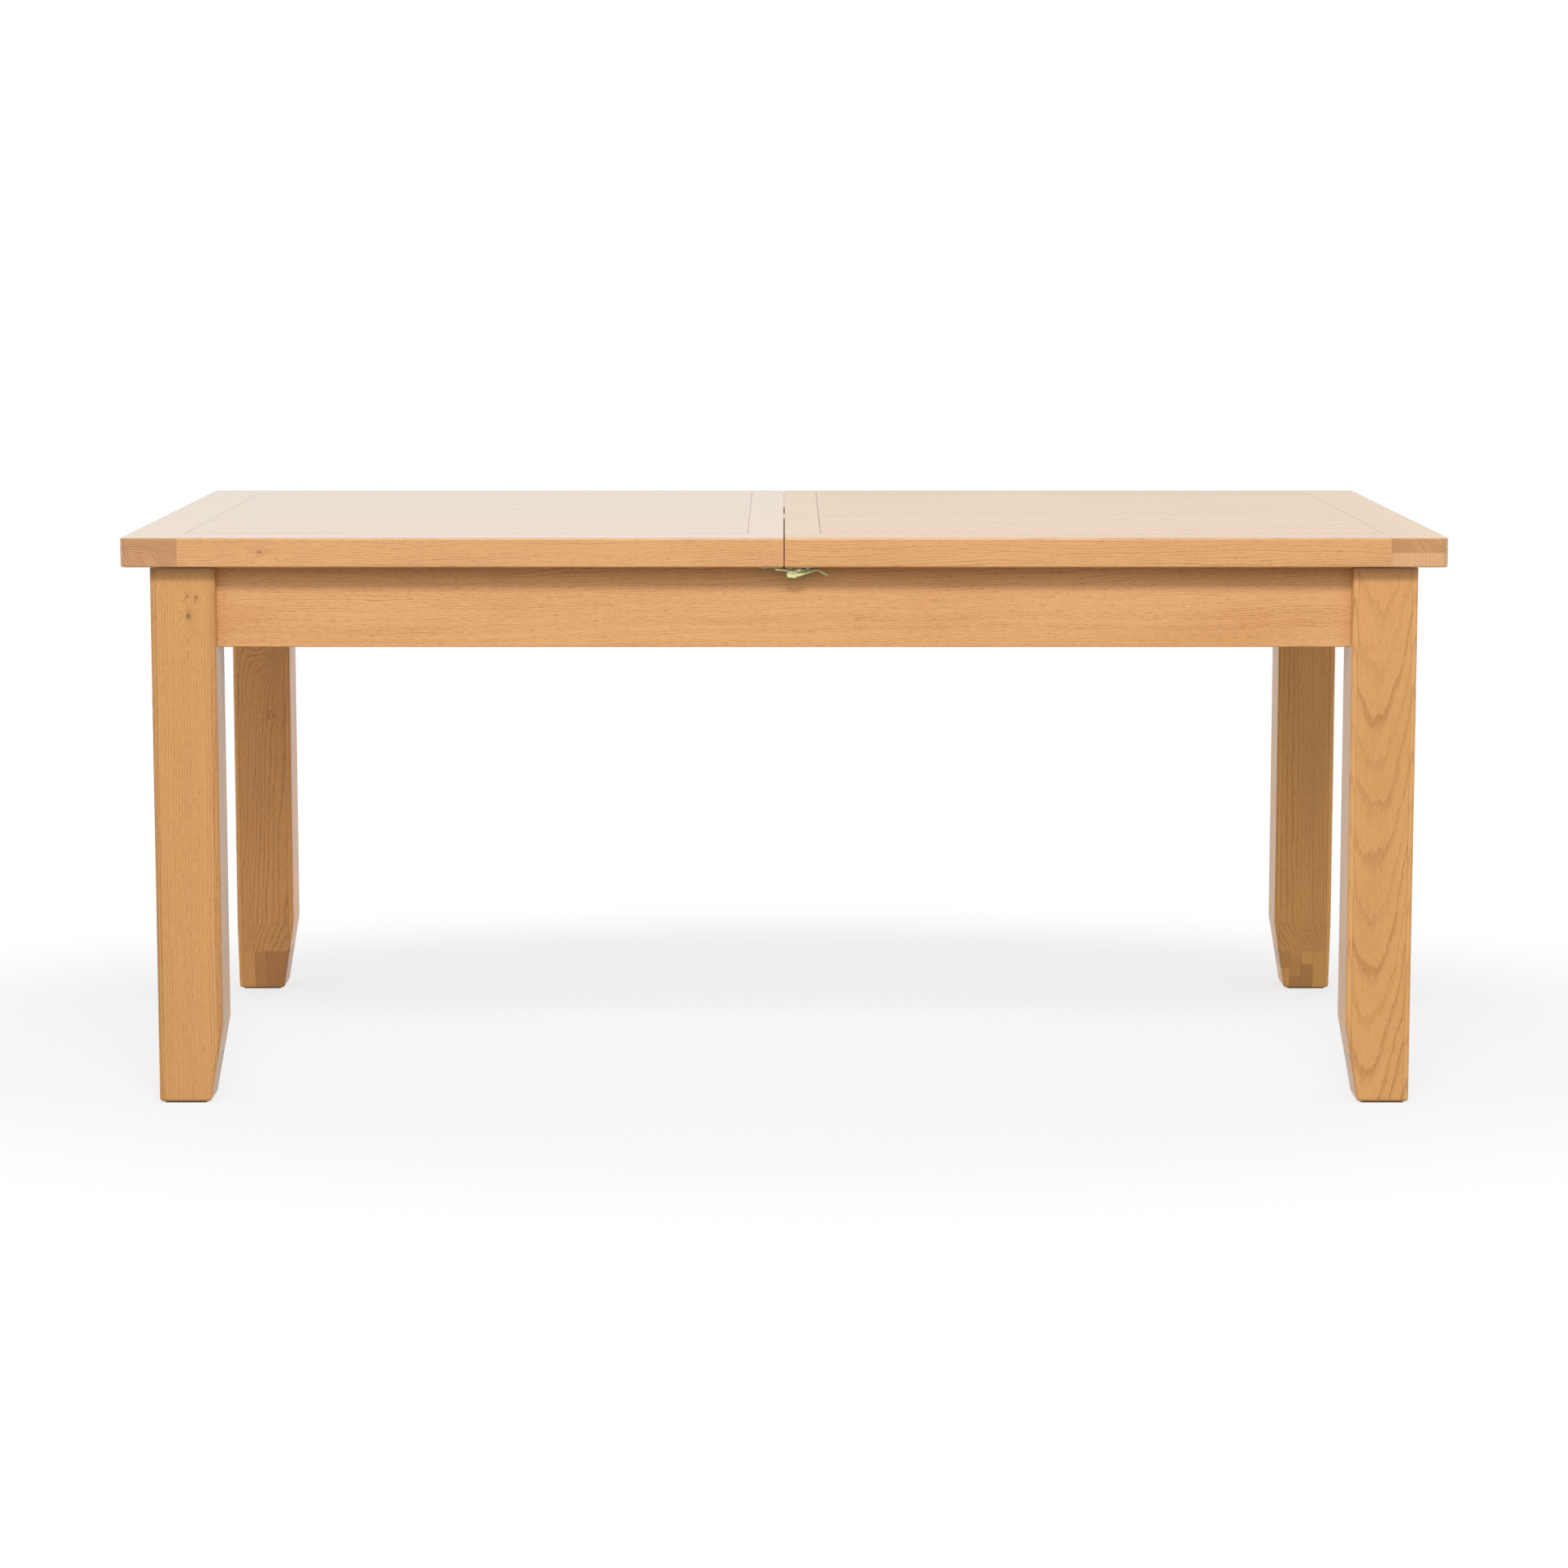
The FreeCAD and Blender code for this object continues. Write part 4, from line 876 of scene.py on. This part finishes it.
def soft_blocks(node, width, finish):
    """Each solid of a node as a block with rounded edges."""
    shape = bmesh.new()
    for points in solids_of(node):
        low, high = corners_of(points)
        size = high - low
        place = Matrix.Translation((low + high) / 2) @ Matrix.Diagonal((*size, 1.0))
        cube = bmesh.ops.create_cube(shape, size=1.0, matrix=place)
        edges = list({edge for corner in cube["verts"] for edge in corner.link_edges})
        bmesh.ops.bevel(shape, geom=edges, offset=width, segments=SOFT_STEPS,
                        affect="EDGES", clamp_overlap=True)
    mesh = bpy.data.meshes.new(f"{node}_soft")
    shape.to_mesh(mesh)
    shape.free()
    mesh.polygons.foreach_set("use_smooth", [True] * len(mesh.polygons))
    mesh.materials.append(finish)
    stand_in(mesh_object(f"{node}_soft", mesh), node)


# ---------------------------------------------------------------- studio

WHITE = (1.0, 1.0, 1.0)
WARM = (1.0, 0.80, 0.62)

# Where the surround's light on matt surfaces changes, as the height of its direction, and how strong it is.
RISING = (0.06, 0.26)
FALLING = (0.45, 0.75)
WARM_UP_TO = (0.08, 0.34)
LOW_LIGHT = 0.28
BAND_LIGHT = 1.85
HIGH_LIGHT = 0.12

FLOOR_HALF = 12.0
FLOOR_GLOW = 0.74
FLOOR_BOUNCE = 0.16
FAR_BOUNCE = 0.22
FLOOR_DARK = (0.195, 0.196, 0.200)
FLOOR_LIGHT = (0.205, 0.206, 0.210)
FLOOR_MOTTLE = 40.0
LIT_REACH = (1.15, 0.80)
FADE = (0.95, 1.6)

KEY_HEIGHT = math.radians(41.0)
KEY_DISTANCE = 5.5
KEY_AIM = Vector((0.0, -0.5, 0.74))
KEY_POWER = 195.0
KEY_WIDTH = 2.4
KEY_DEPTH = 0.85

CAMERA_PLACE = (-0.0001, -6.3055, 1.2225)
CAMERA_DROP = math.radians(7.595)
SENSOR = 36.0
LENS = 98.67


def light_panel(name, place, aim, width, height, power):
    data = bpy.data.lights.new(name, "AREA")
    data.shape = "RECTANGLE"
    data.size = width
    data.size_y = height
    data.energy = power
    panel = bpy.data.objects.new(name, data)
    panel.location = place
    panel.rotation_euler = (Vector(aim) - Vector(place)).to_track_quat("-Z", "Y").to_euler()
    bpy.context.scene.collection.objects.link(panel)


def white_surround():
    """White to look at and to be mirrored in the lacquer. It lights the timber from a band low down."""
    world = bpy.data.worlds.new("white_surround")
    world.use_nodes = True
    web = Wiring(world.node_tree)
    direction = web.add("ShaderNodeTexCoord", output="Generated")
    height = web.add("ShaderNodeSeparateXYZ", None, {0: direction}, 2)
    settings = {"interpolation_type": "SMOOTHSTEP"}
    rising = web.add("ShaderNodeMapRange", settings, {
        0: height, 1: RISING[0], 2: RISING[1], 3: LOW_LIGHT, 4: 1.0})
    falling = web.add("ShaderNodeMapRange", settings, {
        0: height, 1: FALLING[0], 2: FALLING[1], 3: BAND_LIGHT, 4: HIGH_LIGHT})
    bounced = web.add("ShaderNodeLightPath", output="Is Diffuse Ray")
    strength = web.add("ShaderNodeMapRange", None, {0: bounced, 3: 1.0, 4: rising * falling})
    low_down = web.add("ShaderNodeMapRange", settings, {
        0: height, 1: WARM_UP_TO[0], 2: WARM_UP_TO[1], 3: 1.0, 4: 0.0})
    tint = web.add("ShaderNodeMix", {"data_type": "RGBA"}, {0: low_down * bounced, 6: WHITE, 7: WARM}, 2)
    light = web.add("ShaderNodeBackground", None, {"Color": tint, "Strength": strength})
    web.add("ShaderNodeOutputWorld", None, {0: light})
    bpy.context.scene.world = world
    bpy.context.scene.view_settings.view_transform = "Standard"


def floor():
    """A pale floor that takes a faint shadow and fades into the white surround. It is clear from below."""
    slab = bpy.data.objects.new("floor", bpy.data.meshes.new("floor"))
    bpy.context.scene.collection.objects.link(slab)
    shape = bmesh.new()
    bmesh.ops.create_grid(shape, x_segments=8, y_segments=8, size=FLOOR_HALF)
    shape.to_mesh(slab.data)
    shape.free()
    finish = Finish("pale_floor")
    x, y, z = finish.place()
    reach_x, reach_y = x / LIT_REACH[0], y / LIT_REACH[1]
    radius = finish.maths("SQRT", reach_x * reach_x + reach_y * reach_y)
    mottle = finish.noise(finish.vector(x * FLOOR_MOTTLE, y * FLOOR_MOTTLE, z), 3.0, 0.5)
    paint = finish.blend(mottle, FLOOR_DARK, FLOOR_LIGHT)
    lit = finish.add("ShaderNodeBsdfDiffuse", None, {"Color": paint})
    bounced = finish.add("ShaderNodeLightPath", output="Is Diffuse Ray")
    glow = finish.ramp(bounced, 0.0, 1.0, FLOOR_GLOW, FLOOR_BOUNCE)
    bright = finish.add("ShaderNodeEmission", None, {"Color": WHITE, "Strength": glow})
    soft = finish.add("ShaderNodeAddShader", None, {0: lit, 1: bright})
    far_glow = finish.ramp(bounced, 0.0, 1.0, 1.0, FAR_BOUNCE)
    white = finish.add("ShaderNodeEmission", None, {"Color": WHITE, "Strength": far_glow})
    mixed = finish.add("ShaderNodeMixShader", None, {0: finish.ramp(radius, *FADE), 1: soft, 2: white})
    below = finish.add("ShaderNodeNewGeometry", output="Backfacing")
    clear = finish.add("ShaderNodeBsdfTransparent")
    one_way = finish.add("ShaderNodeMixShader", None, {0: below, 1: mixed, 2: clear})
    finish.add("ShaderNodeOutputMaterial", None, {0: one_way})
    slab.data.materials.append(finish.material)


def studio():
    white_surround()
    floor()
    reach = Vector((0.0, -math.cos(KEY_HEIGHT), math.sin(KEY_HEIGHT))) * KEY_DISTANCE
    light_panel("front_softbox", KEY_AIM + reach, KEY_AIM, KEY_WIDTH, KEY_DEPTH, KEY_POWER)


def camera():
    """At the height and distance of someone standing back from the long side, looking slightly down."""
    data = bpy.data.cameras.new("camera")
    data.sensor_width = SENSOR
    data.lens = LENS
    view = bpy.data.objects.new("camera", data)
    view.location = CAMERA_PLACE
    view.rotation_euler = (math.radians(90.0) - CAMERA_DROP, 0.0, 0.0)
    bpy.context.scene.collection.objects.link(view)
    bpy.context.scene.camera = view


dress_oak()
dress_underframe()
dress_fittings()
dress_soft_parts()
studio()
camera()
